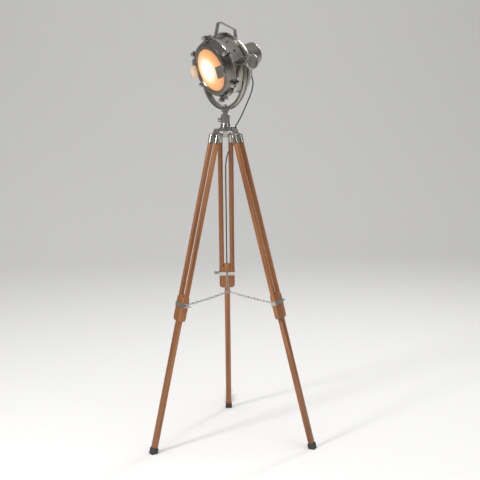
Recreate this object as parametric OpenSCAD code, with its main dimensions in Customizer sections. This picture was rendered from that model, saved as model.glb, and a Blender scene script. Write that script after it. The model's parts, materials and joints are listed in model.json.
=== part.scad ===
// Tripod spotlight floor lamp.
// A round spotlight head hangs in a U-shaped yoke on a wooden tripod with telescopic legs.
// Millimetres, +Z up, origin on the floor at the middle of the tripod's footprint.

/* [Tripod] */
// Height of the leg hinge pins above the floor
hinge_height = 1288; // [1200:1:1340]
// Distance of the hinge pins from the stem axis
hinge_radius = 53; // [51:0.5:60]
// Distance of each foot from the stem axis
foot_radius = 381; // [330:1:420]
// Distance from a front leg's hinge pin down to its clamp
front_clamp_drop = 702; // [660:1:730]
// Distance from the rear leg's hinge pin down to its clamp
rear_clamp_drop = 634; // [600:1:700]

/* [Upper legs] */
// Diameter of each wooden rod
rod_d = 21; // [18:0.5:23]
// Diameter of the tenon at a rod's lower end
tenon_d = 12; // [8:0.5:15]
// Length of that tenon
tenon_len = 16; // [10:1:24]
// Wall of the nickel ferrule on a rod's top end
ferrule_wall = 1.5; // [1:0.1:2]
// Length of the ferrule's skirt below the hinge pin
ferrule_skirt = 28; // [22:1:40]
// Diameter of the leg hinge pins
pin_d = 8; // [6:0.5:9]
// Height of a cheek above its clamp
cheek_above = 33; // [24:1:45]
// Height of a cheek below its clamp
cheek_below = 68; // [50:1:80]
// Radius of a cheek's rounded lower corner
cheek_round = 14; // [6:1:18]

/* [Lower legs] */
// Width of a lower leg, across the two rods
lower_w = 24; // [20:0.5:28]
// Depth of a lower leg, towards the stem axis
lower_d = 20; // [17:0.5:22]
// Height of a lower leg's top end above its clamp
lower_above = 43; // [38:1:60]
// Wall of the rubber shoe
shoe_wall = 2.5; // [2:0.1:4]
// Height of the rubber shoe
shoe_h = 24; // [18:1:40]
// Thickness of rubber under a lower leg
shoe_sole = 5; // [3:0.5:8]

/* [Leg clamps] */
// Height of a clamp band
clamp_h = 17; // [12:1:22]
// Wall of a clamp band
clamp_wall = 2; // [1.5:0.1:3]
// Diameter of a clamp screw's thread
clamp_screw_d = 6; // [4:0.5:7]
// Span of the wings on a clamp screw
wing_span = 26; // [20:1:32]

/* [Chains] */
// Target pitch of the chain links
link_pitch = 14; // [13:0.5:18]
// Wire diameter of a chain link
link_wire = 2.6; // [2.2:0.1:2.8]
// Clear width inside a chain link
link_gap = 4.4; // [4.2:0.1:5]
// Sag of each chain at its middle
chain_sag = 3; // [1:0.5:5]
// Distance from the hinge pins down to the ring that joins the chains
ring_drop = 656; // [640:1:664]
// Radius of that ring, to the middle of its wire
ring_r = 9; // [8.5:0.5:11]
// Wire diameter of the ring and of the eyes on the clamps
ring_wire = 3.6; // [3:0.1:3.8]

/* [Hub] */
// Radius of the hub plate
plate_r = 36; // [30:1:38]
// Thickness of the hub plate
plate_t = 10; // [8:0.5:14]
// Height of the plate's underside above the hinge pins
plate_rise = 22; // [20:0.5:26]
// Radius of the rounded lug round each hinge pin
lug_r = 10; // [8:0.5:11]
// Radius of the stem socket
socket_r = 18; // [16:0.5:22]
// Height of the stem socket above the plate, with its flare
socket_h = 57; // [50:1:66]
// Radius of the socket's flare where it meets the plate
flare_r = 24; // [20:1:28]
// Height of the flare
flare_h = 20; // [12:1:26]

/* [Stem and yoke] */
// Diameter of the stem
stem_d = 22; // [18:0.5:26]
// Length of the stem that shows between its socket and the yoke
stem_show = 18; // [16:1:40]
// Distance from the tilt axis down to the yoke's inner bottom
yoke_drop = 180; // [176:1:190]
// Half of the clear width between the yoke's arms
yoke_half = 142; // [138:1:150]
// Thickness of the yoke
yoke_t = 12; // [10:0.5:15]
// Width of the yoke
yoke_w = 22; // [18:0.5:28]
// Depth of the channel in the yoke's outer face
channel_depth = 4; // [2:0.5:6]
// Width of each rib beside that channel
channel_rib = 4; // [3:0.5:5.5]
// Radius of the eared ends of the yoke
ear_r = 17; // [14:0.5:20]
// Diameter of the tilt bolts
bolt_d = 12; // [8:0.5:14]
// Radius of a tilt knob
knob_r = 30; // [24:1:36]
// Thickness of a tilt knob's head
knob_t = 14; // [10:0.5:18]
// Length of a tilt knob's neck
knob_neck = 28; // [20:1:34]
// Direction that the beam points in, from +X towards +Y
head_pan = 213.5; // [180:0.5:250]
// Downward tilt of the beam
head_tilt = 17; // [0:0.5:30]
// Height of the tilt axis above the beam's axis
pivot_rise = 10; // [0:0.5:14]

/* [Head housing] */
// Radius of the drum
drum_r = 120; // [114:0.5:122]
// Wall of the drum, dome and rear can
drum_wall = 2.5; // [1.5:0.1:3.5]
// Reach of the drum in front of the tilt axis
drum_front = 44; // [40:0.5:50]
// Reach of the drum behind the tilt axis
drum_back = 28; // [24:0.5:34]
// Thickness of the front band over the drum
band_t = 3.5; // [2.5:0.5:4.5]
// Width of the front band
band_w = 15; // [13:0.5:18]
// Length of the rear dome
dome_len = 70; // [60:1:80]
// Radius of the rear can
can_r = 48; // [42:1:54]
// Length of the rear can
can_len = 68; // [60:1:76]
// Width of the flanges that join the drum and the dome
flange_w = 7; // [6:0.5:9]
// Number of bolts in those flanges
flange_bolts = 10; // [6:2:16]
// Radius of the boss at each tilt bolt
boss_r = 18; // [15:0.5:22]

/* [Head front] */
// Radius of the clear opening in front of the lens
lens_open_r = 87; // [80:0.5:89]
// Radius of the lens
lens_r = 91; // [90:0.5:92]
// Thickness of the lens
lens_t = 3; // [2:0.5:4]
// Distance of the lens in front of the tilt axis
lens_reach = 68; // [66:0.5:72]
// Radius at which the swing bolts lie
swing_r = 130; // [128:0.5:133]
// Number of swing bolts
swing_count = 6; // [4:1:8]
// Length of the side plates in front of the bezel
plate_len = 34; // [25:1:50]
// Height of the side plates
plate_h = 48; // [36:1:60]
// Thickness of the side plates
side_plate_t = 2.5; // [2:0.5:4]
// Radius of the bulb
bulb_r = 28; // [22:0.5:30]

/* [Handle] */
// Reach of the handle's front end in front of the tilt axis
handle_front = 24; // [23:0.5:26]
// Length of the handle's foot on the drum
handle_foot = 17; // [16:0.5:18]
// Distance that the handle's front post leans back
handle_lean = 31; // [20:1:36]
// Rise of the handle's front corner above the drum
handle_rise = 53; // [46:1:60]
// Distance between the handle's two upper corners, along the beam
handle_span = 67; // [60:1:70]
// Drop from the handle's front corner to its rear corner
handle_fall = 55; // [50:1:58]
// Width of the handle's strap
strap_w = 18; // [14:0.5:24]
// Thickness of the handle's strap
strap_t = 4; // [3:0.5:5]
// Radius of the handle's bends
strap_bend = 9; // [6:0.5:14]

/* [Cord] */
// Diameter of the cord
cord_d = 5; // [4.5:0.1:5.4]

/* [Hidden] */
leg_angle = [210, 330, 90];
clamp_drop = [front_clamp_drop, front_clamp_drop, rear_clamp_drop];
slide_gap = 0.3;      // clearance of a lower leg in its guides
turn_gap = 0.06;      // radial clearance of a shaft that turns
seat_gap = 0.3;       // clearance between pieces that move past each other
cord_part = 0.25;      // distance from each end of a cord stretch to where it meets the next
fine = 48;

splay = atan((foot_radius - hinge_radius) / hinge_height);
leg_len = norm([foot_radius - hinge_radius, hinge_height]);
rod_pitch = lower_w + 2 * slide_gap + rod_d;
cheek_d = lower_d + 2 * slide_gap;
ferrule_r = rod_d / 2 + ferrule_wall;
ferrule_in = rod_d / 2 + 0.1;
ferrule_top = 4;      // height of the ferrule's shoulder above the hinge pin
rod_top = -pin_d / 2 - 3;
lug_half = rod_pitch / 2 - ferrule_r - seat_gap;
pin_half = rod_pitch / 2 + ferrule_r + seat_gap;
band_y = rod_pitch / 2 + rod_d / 2;
band_x = cheek_d / 2;
eye_r = 5;
eye_wire = 3;
eye_x = -(band_x + clamp_wall + eye_r + eye_wire / 2 - 1);
shoe_half_x = lower_d / 2 + shoe_wall;
shoe_half_y = lower_w / 2 + shoe_wall;

// The footprint's middle is moved to the origin: one rear foot, two front feet.
foot_reach = foot_radius + shoe_half_x / cos(splay);
stand_shift = -(foot_reach - foot_reach * sin(30) - shoe_half_y * cos(30)) / 2;

plate_z = hinge_height + plate_rise;
socket_z = plate_z + plate_t;
socket_top = socket_z + socket_h;
screw_z = socket_z + flare_h + 14;
yoke_under = socket_top + stem_show;
yoke_bottom = yoke_under + yoke_t;
pivot_height = yoke_bottom + yoke_drop;
ring_height = hinge_height - ring_drop;
stem_bottom = socket_z + 12;
collar_h = 9;
nut_r = 10;
nut_h = 8;

flange_t = 4;
flange_mid = drum_r + flange_w / 2;
dome_z = -drum_back;
can_z = dome_z - dome_len;
can_end = can_z - can_len;
can_in = can_r - drum_wall;
bezel_back = drum_front;
ear_z = bezel_back + 8;
ear_t = 8;
ear_out = swing_r + 8;
gasket_t = 2;
rim_t = 1.2;
seat_z = lens_reach - gasket_t;
lip_z = lens_reach + lens_t;
bezel_front = lip_z + 5;
lug_mid = drum_front - band_w / 2;
band_r = drum_r + band_t;
gland_z = -115;       // place of the cable gland along the beam's axis
reflector_f = 28;
reflector_rim = 84;
reflector_hole = 22;
reflector_tip = seat_z - pow(reflector_rim, 2) / (4 * reflector_f);

wood = "#a9683a";
nickel = "#b9b6b0";
bright = "#d8d5cf";
black = "#2a2825";

// ---------- places ----------

module stand_place() {
    translate([0, stand_shift, 0]) children();
}

// Leg frame: origin on the hinge pin, +X outwards, +Z up along the leg.
module leg_place(i) {
    stand_place()
        rotate([0, 0, leg_angle[i]])
            translate([hinge_radius, 0, hinge_height])
                rotate([0, -splay, 0]) children();
}

// Yoke frame: origin on the tilt axis, which is Y, with the beam's heading as +X.
module yoke_place() {
    stand_place() translate([0, 0, pivot_height]) rotate([0, 0, head_pan]) children();
}

module head_place() {
    yoke_place() rotate([0, head_tilt, 0]) children();
}

// Beam frame: +Z along the beam from a point below the tilt axis.
module beam_place() {
    head_place() translate([0, 0, -pivot_rise]) rotate([0, 90, 0]) children();
}

// Turns a piece about the beam, so that +X points outwards at angle a from the top.
module around_beam(a) {
    rotate([0, 0, 180 - a]) children();
}

module along_y() {
    rotate([-90, 0, 0]) children();
}

// ---------- shared shapes ----------

function arc_points(cx, cy, r, a0, a1, n) =
    [for (k = [0:n]) [cx + r * cos(a0 + (a1 - a0) * k / n), cy + r * sin(a0 + (a1 - a0) * k / n)]];

// Button with a domed top: radius r, straight side h, dome rise d.
module button(r, h, d) {
    rotate_extrude($fn = fine)
        polygon(concat([[0, 0], [r, 0], [r, h]],
            [for (k = [1:5]) [r * cos(90 * k / 6), h + d * sin(90 * k / 6)]], [[0, h + d]]));
}

module round_bar(r, z0, z1) {
    translate([0, 0, z0]) cylinder(r = r, h = z1 - z0, $fn = fine);
}

module torus(r, wire) {
    rotate_extrude($fn = fine) translate([r, 0]) circle(d = wire, $fn = 24);
}

// Slot of half width w with a round closed end at the origin, open towards +X.
module open_slot(w, reach) {
    polygon(concat([[reach, -w], [reach, w]], arc_points(0, 0, w, 90, 270, 10)));
}

// Rectangle with round corners, centred.
module soft_rect(x, y, r) {
    square([x - 2 * r, y], center = true);
    square([x, y - 2 * r], center = true);
    for (i = [-1, 1])
        for (j = [-1, 1])
            translate([i * (x / 2 - r), j * (y / 2 - r)]) circle(r = r, $fn = 24);
}

// ---------- upper legs ----------

module leg_rods(i) {
    bottom = -clamp_drop[i] + cheek_above;
    color(wood) leg_place(i)
        for (s = [-1, 1])
            translate([0, s * rod_pitch / 2, 0]) {
                round_bar(rod_d / 2, bottom, rod_top);
                round_bar(tenon_d / 2, bottom - tenon_len, bottom + 1);
            }
}

module ferrule() {
    difference() {
        rotate_extrude($fn = fine)
            polygon(concat([[0, -ferrule_skirt], [ferrule_r, -ferrule_skirt], [ferrule_r, ferrule_top]],
                [for (k = [1:5]) [ferrule_r * cos(15 * k), ferrule_top + ferrule_r * 0.6 * sin(15 * k)]],
                [[0, ferrule_top + ferrule_r * 0.6]]));
        round_bar(ferrule_in, -ferrule_skirt - 1, rod_top);
        along_y() cylinder(r = pin_d / 2 + turn_gap, h = 4 * ferrule_r, center = true, $fn = fine);
    }
}

module leg_ferrules(i) {
    color(bright) leg_place(i)
        for (s = [-1, 1])
            translate([0, s * rod_pitch / 2, 0]) ferrule();
}

// Outline of one cheek across the leg: its outer lower corner is rounded.
module cheek_outline() {
    difference() {
        translate([-rod_d / 2, -cheek_below]) square([rod_d, cheek_below + cheek_above]);
        difference() {
            translate([rod_d / 2 - cheek_round, -cheek_below - 1]) square([cheek_round + 1, cheek_round + 1]);
            translate([rod_d / 2 - cheek_round, -cheek_below + cheek_round]) circle(r = cheek_round, $fn = 64);
        }
    }
}

module leg_cheeks(i) {
    color(wood) leg_place(i)
        for (s = [-1, 1])
            translate([0, s * rod_pitch / 2, -clamp_drop[i]])
                difference() {
                    rotate([90, 0, 90])
                        linear_extrude(cheek_d, center = true) mirror([s < 0 ? 1 : 0, 0]) cheek_outline();
                    round_bar(tenon_d / 2 + 0.1, cheek_above - tenon_len - 0.2, cheek_above + 1);
                }
}

module leg_clamp(i) {
    color(bright) leg_place(i)
        translate([0, 0, -clamp_drop[i]]) {
            difference() {
                union() {
                    linear_extrude(clamp_h, center = true)
                        soft_rect(2 * (band_x + clamp_wall), 2 * (band_y + clamp_wall), clamp_wall);
                    translate([0, band_y + clamp_wall - 0.5, 0]) along_y() round_bar(7, 0, 5);
                }
                cube([2 * band_x, 2 * band_y, clamp_h + 2], center = true);
                translate([0, band_y, 0]) along_y() round_bar(clamp_screw_d / 2 + turn_gap, -1, 12);
            }
            translate([eye_x, 0, 0]) rotate([90, 0, 0]) torus(eye_r, eye_wire);
        }
}

// Thumb screw with two wings, along +Z, its tip at the origin.
module wing_screw(d, seat, span) {
    round_bar(d / 2, 0, seat + 12);
    translate([0, 0, seat]) button(d / 2 + 3, 9, 3);
    for (s = [-1, 1])
        translate([s * span / 4, 0, seat + 9])
            rotate([90, 0, 0])
                linear_extrude(3, center = true)
                    intersection() {
                        square([span / 2, 15], center = true);
                        translate([s * span / 16, 0]) circle(r = span * 0.3, $fn = fine);
                    }
}

module clamp_screw(i) {
    color(bright) leg_place(i)
        translate([0, band_y + 0.1, -clamp_drop[i]])
            along_y() wing_screw(clamp_screw_d, clamp_wall + 5, wing_span);
}

// ---------- lower legs ----------

module lower_leg(i) {
    top = -clamp_drop[i] + lower_above;
    bottom = -leg_len + shoe_sole;
    color(wood) leg_place(i)
        translate([0, 0, (top + bottom) / 2]) cube([lower_d, lower_w, top - bottom], center = true);
}

module shoe(i) {
    color(black) intersection() {
        leg_place(i)
            difference() {
                translate([0, 0, -leg_len + shoe_h / 2 - 10])
                    linear_extrude(shoe_h + 20, center = true)
                        soft_rect(2 * shoe_half_x, 2 * shoe_half_y, 0.5);
                translate([0, 0, -leg_len + shoe_sole + shoe_h])
                    cube([lower_d, lower_w, 2 * shoe_h], center = true);
            }
        translate([-2 * foot_radius, -2 * foot_radius, 0]) cube([4 * foot_radius, 4 * foot_radius, 200]);
    }
}

// ---------- chains ----------

// A point given in leg i's plane by its leg-frame x and z, as [radius, height].
function leg_point(x, z) = [
    hinge_radius + x * cos(splay) - z * sin(splay),
    hinge_height + x * sin(splay) + z * cos(splay)
];

ring_hold = ring_wire / 2 + seat_gap;
eye_hold = eye_r - eye_wire / 2 - seat_gap;

// Stadium-shaped link of clear length l, along X, lying in the XY plane.
module link(l) {
    bend = (link_gap + link_wire) / 2;
    run = l + link_wire - 2 * bend;
    for (s = [-1, 1]) {
        translate([-run / 2, s * bend, 0]) rotate([0, 90, 0]) cylinder(d = link_wire, h = run, $fn = 24);
        translate([s * run / 2, 0, 0])
            rotate([0, 0, s > 0 ? -90 : 90])
                rotate_extrude(angle = 180, $fn = 32) translate([bend, 0]) circle(d = link_wire, $fn = 24);
    }
}

module chain(i) {
    span = leg_point(eye_x, -clamp_drop[i]) - [ring_r, ring_height];
    reach = norm(span) + ring_hold - eye_hold;
    count = 2 * round((reach / link_pitch) / 2);
    pitch = reach / count;
    clear = pitch + 0.3;
    slope = atan(span[1] / span[0]);
    color(nickel) stand_place() rotate([0, 0, leg_angle[i]])
        for (k = [0:count - 1]) {
            along = pitch * (k + 0.5) - ring_hold;
            t = max(0, along / norm(span));
            drop = 4 * chain_sag * t * (1 - t);
            lean = atan(4 * chain_sag * (1 - 2 * t) / norm(span));
            translate([ring_r + along * cos(slope), 0, ring_height + along * sin(slope) - drop])
                rotate([0, -slope + lean, 0])
                    rotate([k % 2 == 0 ? 90 : 0, 0, 0]) link(clear);
        }
}

module chain_ring() {
    color(bright) stand_place() translate([0, 0, ring_height]) torus(ring_r, ring_wire);
}

// ---------- hub ----------

module hub_plate() {
    color(nickel) stand_place()
        difference() {
            union() {
                round_bar(plate_r, plate_z, plate_z + plate_t);
                for (a = leg_angle)
                    rotate([0, 0, a]) translate([hinge_radius, 0, hinge_height])
                        rotate([90, 0, 0])
                            linear_extrude(2 * lug_half, center = true) {
                                circle(r = lug_r, $fn = fine);
                                polygon([
                                    [-hinge_radius + 14, plate_rise + plate_t],
                                    [-6, plate_rise + plate_t],
                                    [lug_r * 0.92, lug_r * 0.4],
                                    [-lug_r * 0.9, -lug_r * 0.44],
                                    [-lug_r - 8, plate_rise],
                                    [-hinge_radius + 14, plate_rise]
                                ]);
                            }
            }
            for (a = leg_angle)
                rotate([0, 0, a]) translate([hinge_radius, 0, hinge_height])
                    along_y() cylinder(r = pin_d / 2 + turn_gap, h = 4 * lug_half, center = true, $fn = fine);
        }
}

module leg_hinge_pins() {
    color(bright) stand_place()
        for (a = leg_angle)
            rotate([0, 0, a]) translate([hinge_radius, 0, hinge_height]) {
                along_y() cylinder(d = pin_d, h = 2 * pin_half, center = true, $fn = fine);
                for (s = [0, 180])
                    rotate([0, 0, s]) translate([0, pin_half, 0]) along_y() button(pin_d / 2 + 2.5, 2.5, 3);
            }
}

module stem_socket() {
    color(nickel) stand_place()
        difference() {
            union() {
                translate([0, 0, socket_z])
                    rotate_extrude($fn = fine)
                        polygon([
                            [0, 0], [flare_r, 0], [flare_r, 3], [flare_r - 2.5, 6], [socket_r + 0.8, flare_h],
                            [socket_r, flare_h + 2], [socket_r, socket_h - 1.5], [socket_r - 1.5, socket_h], [0, socket_h]
                        ]);
                translate([0, 0, screw_z])
                    rotate([0, 0, 190]) rotate([0, 90, 0]) round_bar(8, socket_r - 4, socket_r + 4);
            }
            round_bar(stem_d / 2 + turn_gap, stem_bottom - seat_gap, socket_top + 1);
            translate([0, 0, screw_z])
                rotate([0, 0, 190]) rotate([0, 90, 0]) round_bar(4 + turn_gap, 0, socket_r + 8);
        }
}

module stem_screw() {
    color(bright) stand_place()
        translate([0, 0, screw_z])
            rotate([0, 0, 190]) rotate([0, 90, 0]) {
                round_bar(4, stem_d / 2 + seat_gap, socket_r + 10);
                translate([0, 0, socket_r + 4 + seat_gap])
                    difference() {
                        button(9, 8, 2.5);
                        for (k = [0:11])
                            rotate([0, 0, 30 * k]) translate([9.6, 0, -1]) cylinder(r = 1.4, h = 14, $fn = 16);
                    }
            }
}

// ---------- stem and yoke ----------

module stem() {
    color(bright) stand_place() {
        round_bar(stem_d / 2, stem_bottom, yoke_under - collar_h + 1);
        translate([0, 0, yoke_under - collar_h])
            rotate_extrude($fn = fine)
                polygon([[0, 0], [stem_d / 2 + 1, 0], [stem_d / 2 + 5, 3], [stem_d / 2 + 5, collar_h], [0, collar_h]]);
        round_bar(6, yoke_under - 1, yoke_bottom + nut_h - 2);
    }
}

module yoke_nut() {
    color(bright) stand_place() rotate([0, 0, head_pan]) translate([0, 0, yoke_bottom])
        difference() {
            union() {
                cylinder(r = nut_r, h = nut_h - 1, $fn = 6);
                translate([0, 0, nut_h - 2]) button(nut_r * 0.8, 1, 4);
            }
            round_bar(6.1, -1, nut_h - 1.9);
        }
}

// Outline of a U whose inner side lies e inside the yoke's outer side.
module u_outline(e) {
    r = yoke_half + yoke_t - e;
    translate([0, -yoke_drop + yoke_half]) circle(r = r, $fn = 180);
    translate([-r, -yoke_drop + yoke_half]) square([2 * r, yoke_drop - yoke_half + ear_r + 2]);
}

module yoke() {
    color(nickel) yoke_place()
        difference() {
            union() {
                rotate([90, 0, 90])
                    linear_extrude(yoke_w, center = true)
                        difference() {
                            u_outline(0);
                            u_outline(yoke_t);
                            translate([-2 * yoke_half, 0]) square([4 * yoke_half, yoke_drop]);
                        }
                for (s = [-1, 1])
                    translate([0, s * (yoke_half + yoke_t / 2), 0])
                        along_y() cylinder(r = ear_r, h = yoke_t, center = true, $fn = 64);
                round_bar(stem_d / 2 + 5, -yoke_drop - yoke_t, -yoke_drop - yoke_t / 2);
            }
            round_bar(nut_r + 1.5, -yoke_drop, -yoke_drop + 4);
            difference() {
                rotate([90, 0, 90])
                    linear_extrude(yoke_w - 2 * channel_rib, center = true)
                        difference() {
                            u_outline(-1);
                            u_outline(channel_depth);
                            translate([-2 * yoke_half, -ear_r - 6]) square([4 * yoke_half, yoke_drop]);
                        }
                translate([0, 0, -yoke_drop - yoke_t - 2]) cylinder(r = stem_d / 2 + 7, h = yoke_t, $fn = fine);
            }
            along_y() cylinder(r = bolt_d / 2 + turn_gap, h = 4 * yoke_half, center = true, $fn = fine);
            translate([0, 0, -yoke_drop - yoke_t - 1]) cylinder(r = 6.1, h = yoke_t + 2, $fn = fine);
        }
}

// Tilt knob along +Z from the yoke's outer face: a neck and a fluted head with a star recess.
module tilt_knob() {
    reach = knob_neck + knob_t;
    difference() {
        union() {
            round_bar(13, seat_gap, knob_neck + 1);
            translate([0, 0, knob_neck])
                rotate_extrude($fn = 96)
                    polygon([
                        [0, 0], [knob_r - 6, 0], [knob_r, 4], [knob_r, knob_t - 3],
                        [knob_r - 3, knob_t], [0, knob_t]
                    ]);
        }
        for (k = [0:7])
            rotate([0, 0, 45 * k]) translate([knob_r + 3.5, 0, knob_neck - 1]) cylinder(r = 6, h = knob_t + 2, $fn = 32);
        translate([0, 0, reach - 3]) cylinder(r = knob_r * 0.62, h = 5, $fn = 64);
        round_bar(bolt_d / 2 + turn_gap, -1, reach - 6);
    }
    translate([0, 0, reach - 3.5]) {
        cylinder(r = knob_r * 0.42, h = 3, $fn = 6);
        rotate([0, 0, 30]) cylinder(r = knob_r * 0.42, h = 3, $fn = 6);
    }
}

module near_tilt_knob() {
    color(bright) yoke_place() translate([0, yoke_half + yoke_t, 0]) along_y() tilt_knob();
}

module far_tilt_knob() {
    color(bright) yoke_place() rotate([0, 0, 180]) translate([0, yoke_half + yoke_t, 0]) along_y() tilt_knob();
}

module tilt_bolts() {
    far_end = yoke_half + yoke_t + knob_neck + knob_t - 8;
    color(nickel) head_place()
        for (s = [0, 180])
            rotate([0, 0, s]) along_y() round_bar(bolt_d / 2, drum_r - 10, far_end);
}

// ---------- head housing ----------

module drum() {
    inner = drum_r - drum_wall;
    color(nickel) beam_place()
        difference() {
            union() {
                rotate_extrude($fn = 128)
                    polygon([
                        [inner, -drum_back], [drum_r + flange_w, -drum_back],
                        [drum_r + flange_w, flange_t - drum_back], [drum_r, flange_t - drum_back],
                        [drum_r, drum_front], [inner, drum_front]
                    ]);
                translate([-pivot_rise, 0, 0])
                    for (s = [0, 180])
                        rotate([0, 0, s]) along_y() round_bar(boss_r, inner - 12, yoke_half - seat_gap);
            }
            round_bar(inner, -drum_back - 1, drum_front + 1);
            flange_holes();
            translate([-pivot_rise, 0, 0])
                along_y() cylinder(r = bolt_d / 2 + turn_gap, h = 4 * yoke_half, center = true, $fn = fine);
            for (a = [-60:24:60])
                around_beam(a) translate([drum_r, 0, 8]) rotate([0, 90, 0]) cylinder(r = 4.5, h = 12, center = true, $fn = 24);
        }
}

// Front band: the flat ring on the drum that carries the swing bolts' lugs.
module front_band() {
    color(bright) beam_place()
        difference() {
            union() {
                rotate_extrude($fn = 128)
                    polygon([
                        [drum_r, drum_front - band_w], [band_r - 1, drum_front - band_w],
                        [band_r, drum_front - band_w + 1], [band_r, drum_front - 1],
                        [band_r - 1, drum_front], [drum_r, drum_front]
                    ]);
                for (k = [0:swing_count - 1])
                    around_beam(k * 360 / swing_count)
                        translate([drum_r + 1, -7, lug_mid - 5.5]) cube([swing_r - drum_r + 4, 14, 11]);
            }
            round_bar(drum_r, drum_front - band_w - 1, drum_front + 1);
            for (k = [0:swing_count - 1])
                around_beam(k * 360 / swing_count) {
                    translate([band_r + 0.2, -3.4, lug_mid - 7]) cube([20, 6.8, 14]);
                    translate([swing_r, 0, lug_mid]) along_y() cylinder(r = 2.56, h = 20, center = true, $fn = 32);
                }
        }
}

// Radius of the rear dome at a share u of its length.
function dome_radius(u) = can_r + 2 + (drum_r - can_r - 2) * (1 - pow(u, 1.6));

module rear_dome() {
    steps = 14;
    color(nickel) beam_place()
        difference() {
            rotate_extrude($fn = 128)
                polygon(concat(
                    [[drum_r - drum_wall, dome_z], [drum_r + flange_w, dome_z],
                     [drum_r + flange_w, dome_z - flange_t], [drum_r + 0.2, dome_z - flange_t], [drum_r, dome_z - 6]],
                    [for (k = [1:steps]) [dome_radius(k / steps), dome_z - 6 - (dome_len - 6) * k / steps]],
                    [[can_in, can_z], [can_in, can_z + drum_wall]],
                    [for (k = [steps - 1:-1:1])
                        [dome_radius(k / steps) - drum_wall, dome_z - 6 + drum_wall - (dome_len - 6) * k / steps]]));
            flange_holes();
        }
}

module flange_holes() {
    for (k = [0:flange_bolts - 1])
        around_beam((k + 0.5) * 360 / flange_bolts)
            translate([flange_mid, 0, 0]) round_bar(2 + turn_gap, dome_z - flange_t - 1, dome_z + flange_t + 1);
}

module rear_can() {
    color(nickel) beam_place()
        difference() {
            union() {
                rotate_extrude($fn = 96)
                    polygon(concat(
                        [[0, can_z - 3], [can_r + 6, can_z - 3], [can_r + 6, can_z - 6], [can_r, can_z - 7],
                         [can_r, can_end + 16]],
                        arc_points(can_r - 16, can_end + 16, 16, 0, -90, 6), [[0, can_end]]));
                translate([0, 0, gland_z]) rotate([0, 90, 0]) round_bar(11, can_r - 4, can_r + 3);
            }
            rotate_extrude($fn = 96)
                polygon(concat(
                    [[0, can_z - 2], [can_in, can_z - 2], [can_in, can_end + 16]],
                    arc_points(can_in - 14, can_end + 14 + drum_wall, 14, 0, -90, 6), [[0, can_end + drum_wall]]));
            translate([0, 0, gland_z]) rotate([0, 90, 0]) round_bar(6.1, 0, can_r + 8);
        }
}

// ---------- head front ----------

module bezel_ring() {
    color(nickel) beam_place()
        difference() {
            union() {
                rotate_extrude($fn = 128)
                    polygon([
                        [drum_r - 2, bezel_back], [drum_r + 1, bezel_back], [drum_r + 1, bezel_back + 3],
                        [drum_r - 1, ear_z - 0.8], [drum_r - 4, ear_z + ear_t + 0.8], [drum_r - 10, lip_z],
                        [drum_r - 13, bezel_front - 1], [drum_r - 17, bezel_front],
                        [lens_open_r + 3, bezel_front], [lens_open_r, lip_z + 2], [lens_open_r, lip_z],
                        [lens_r + 0.3, lip_z], [lens_r + 0.3, seat_z - 8], [lens_r + 2.5, seat_z - 8],
                        [lens_r + 2.5, lip_z + 2], [drum_r - 17, lip_z + 2], [drum_r - 13, lip_z - 2],
                        [drum_r - 7, ear_z + ear_t - 1], [drum_r - 4, ear_z - 1]
                    ]);
                for (k = [0:swing_count - 1])
                    around_beam(k * 360 / swing_count)
                        along_y() linear_extrude(18, center = true) polygon([
                            [drum_r - 2.5, -ear_z], [ear_out, -ear_z],
                            [ear_out, -ear_z - ear_t], [drum_r - 6, -ear_z - ear_t]
                        ]);
            }
            for (k = [0:swing_count - 1])
                around_beam(k * 360 / swing_count)
                    translate([swing_r, 0, ear_z - 1]) linear_extrude(ear_t + 2) open_slot(3.4, 20);
        }
}

module lens_glass() {
    color("#ffe9c8", 0.4) beam_place() round_bar(lens_r, lens_reach, lip_z);
}

module lens_gasket() {
    color(black) beam_place()
        difference() {
            round_bar(lens_r, seat_z, lens_reach);
            round_bar(lens_open_r, seat_z - 1, lens_reach + 1);
        }
}

// Spun bowl whose inside follows a parabola round the bulb.
module reflector() {
    steps = 14;
    function bowl_r(k) = reflector_hole + (reflector_rim - reflector_hole) * k / steps;
    function bowl_z(r) = reflector_tip + pow(r, 2) / (4 * reflector_f);
    color("#d99a5b") beam_place()
        rotate_extrude($fn = 96)
            polygon(concat(
                [for (k = [0:steps]) [bowl_r(k), bowl_z(bowl_r(k))]],
                [[lens_r, seat_z], [lens_r, seat_z - rim_t], [reflector_rim + 1.5, seat_z - rim_t]],
                [for (k = [steps:-1:0]) [bowl_r(k) + 0.9, bowl_z(bowl_r(k)) - rim_t * 1.3]]));
}

module bulb() {
    centre = reflector_tip + reflector_f;
    neck = 13;
    color("#fff3d0") beam_place() {
        rotate_extrude($fn = 64)
            polygon(concat(
                [[0, centre - bulb_r - 22], [neck, centre - bulb_r - 22], [neck, centre - bulb_r - 4]],
                arc_points(0, centre, bulb_r, -54, 84, 12), [[0, centre + bulb_r]]));
        round_bar(neck, centre - bulb_r - 44, centre - bulb_r - 21);
    }
}

module lamp_holder() {
    centre = reflector_tip + reflector_f;
    front = centre - bulb_r - 18;
    color(black) beam_place()
        difference() {
            union() {
                round_bar(19, front - 36, front);
                round_bar(20.5, front - 8, front - 3);
            }
            round_bar(13.2, front - 27, front + 1);
        }
}

module lamp_bracket() {
    centre = reflector_tip + reflector_f;
    back = centre - bulb_r - 54;
    color(nickel) beam_place()
        difference() {
            union() {
                round_bar(can_r + 2, can_z - 3, can_z);
                round_bar(12, can_z - 1, back);
            }
            round_bar(9, can_z - 4, back + 1);
        }
}

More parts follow.
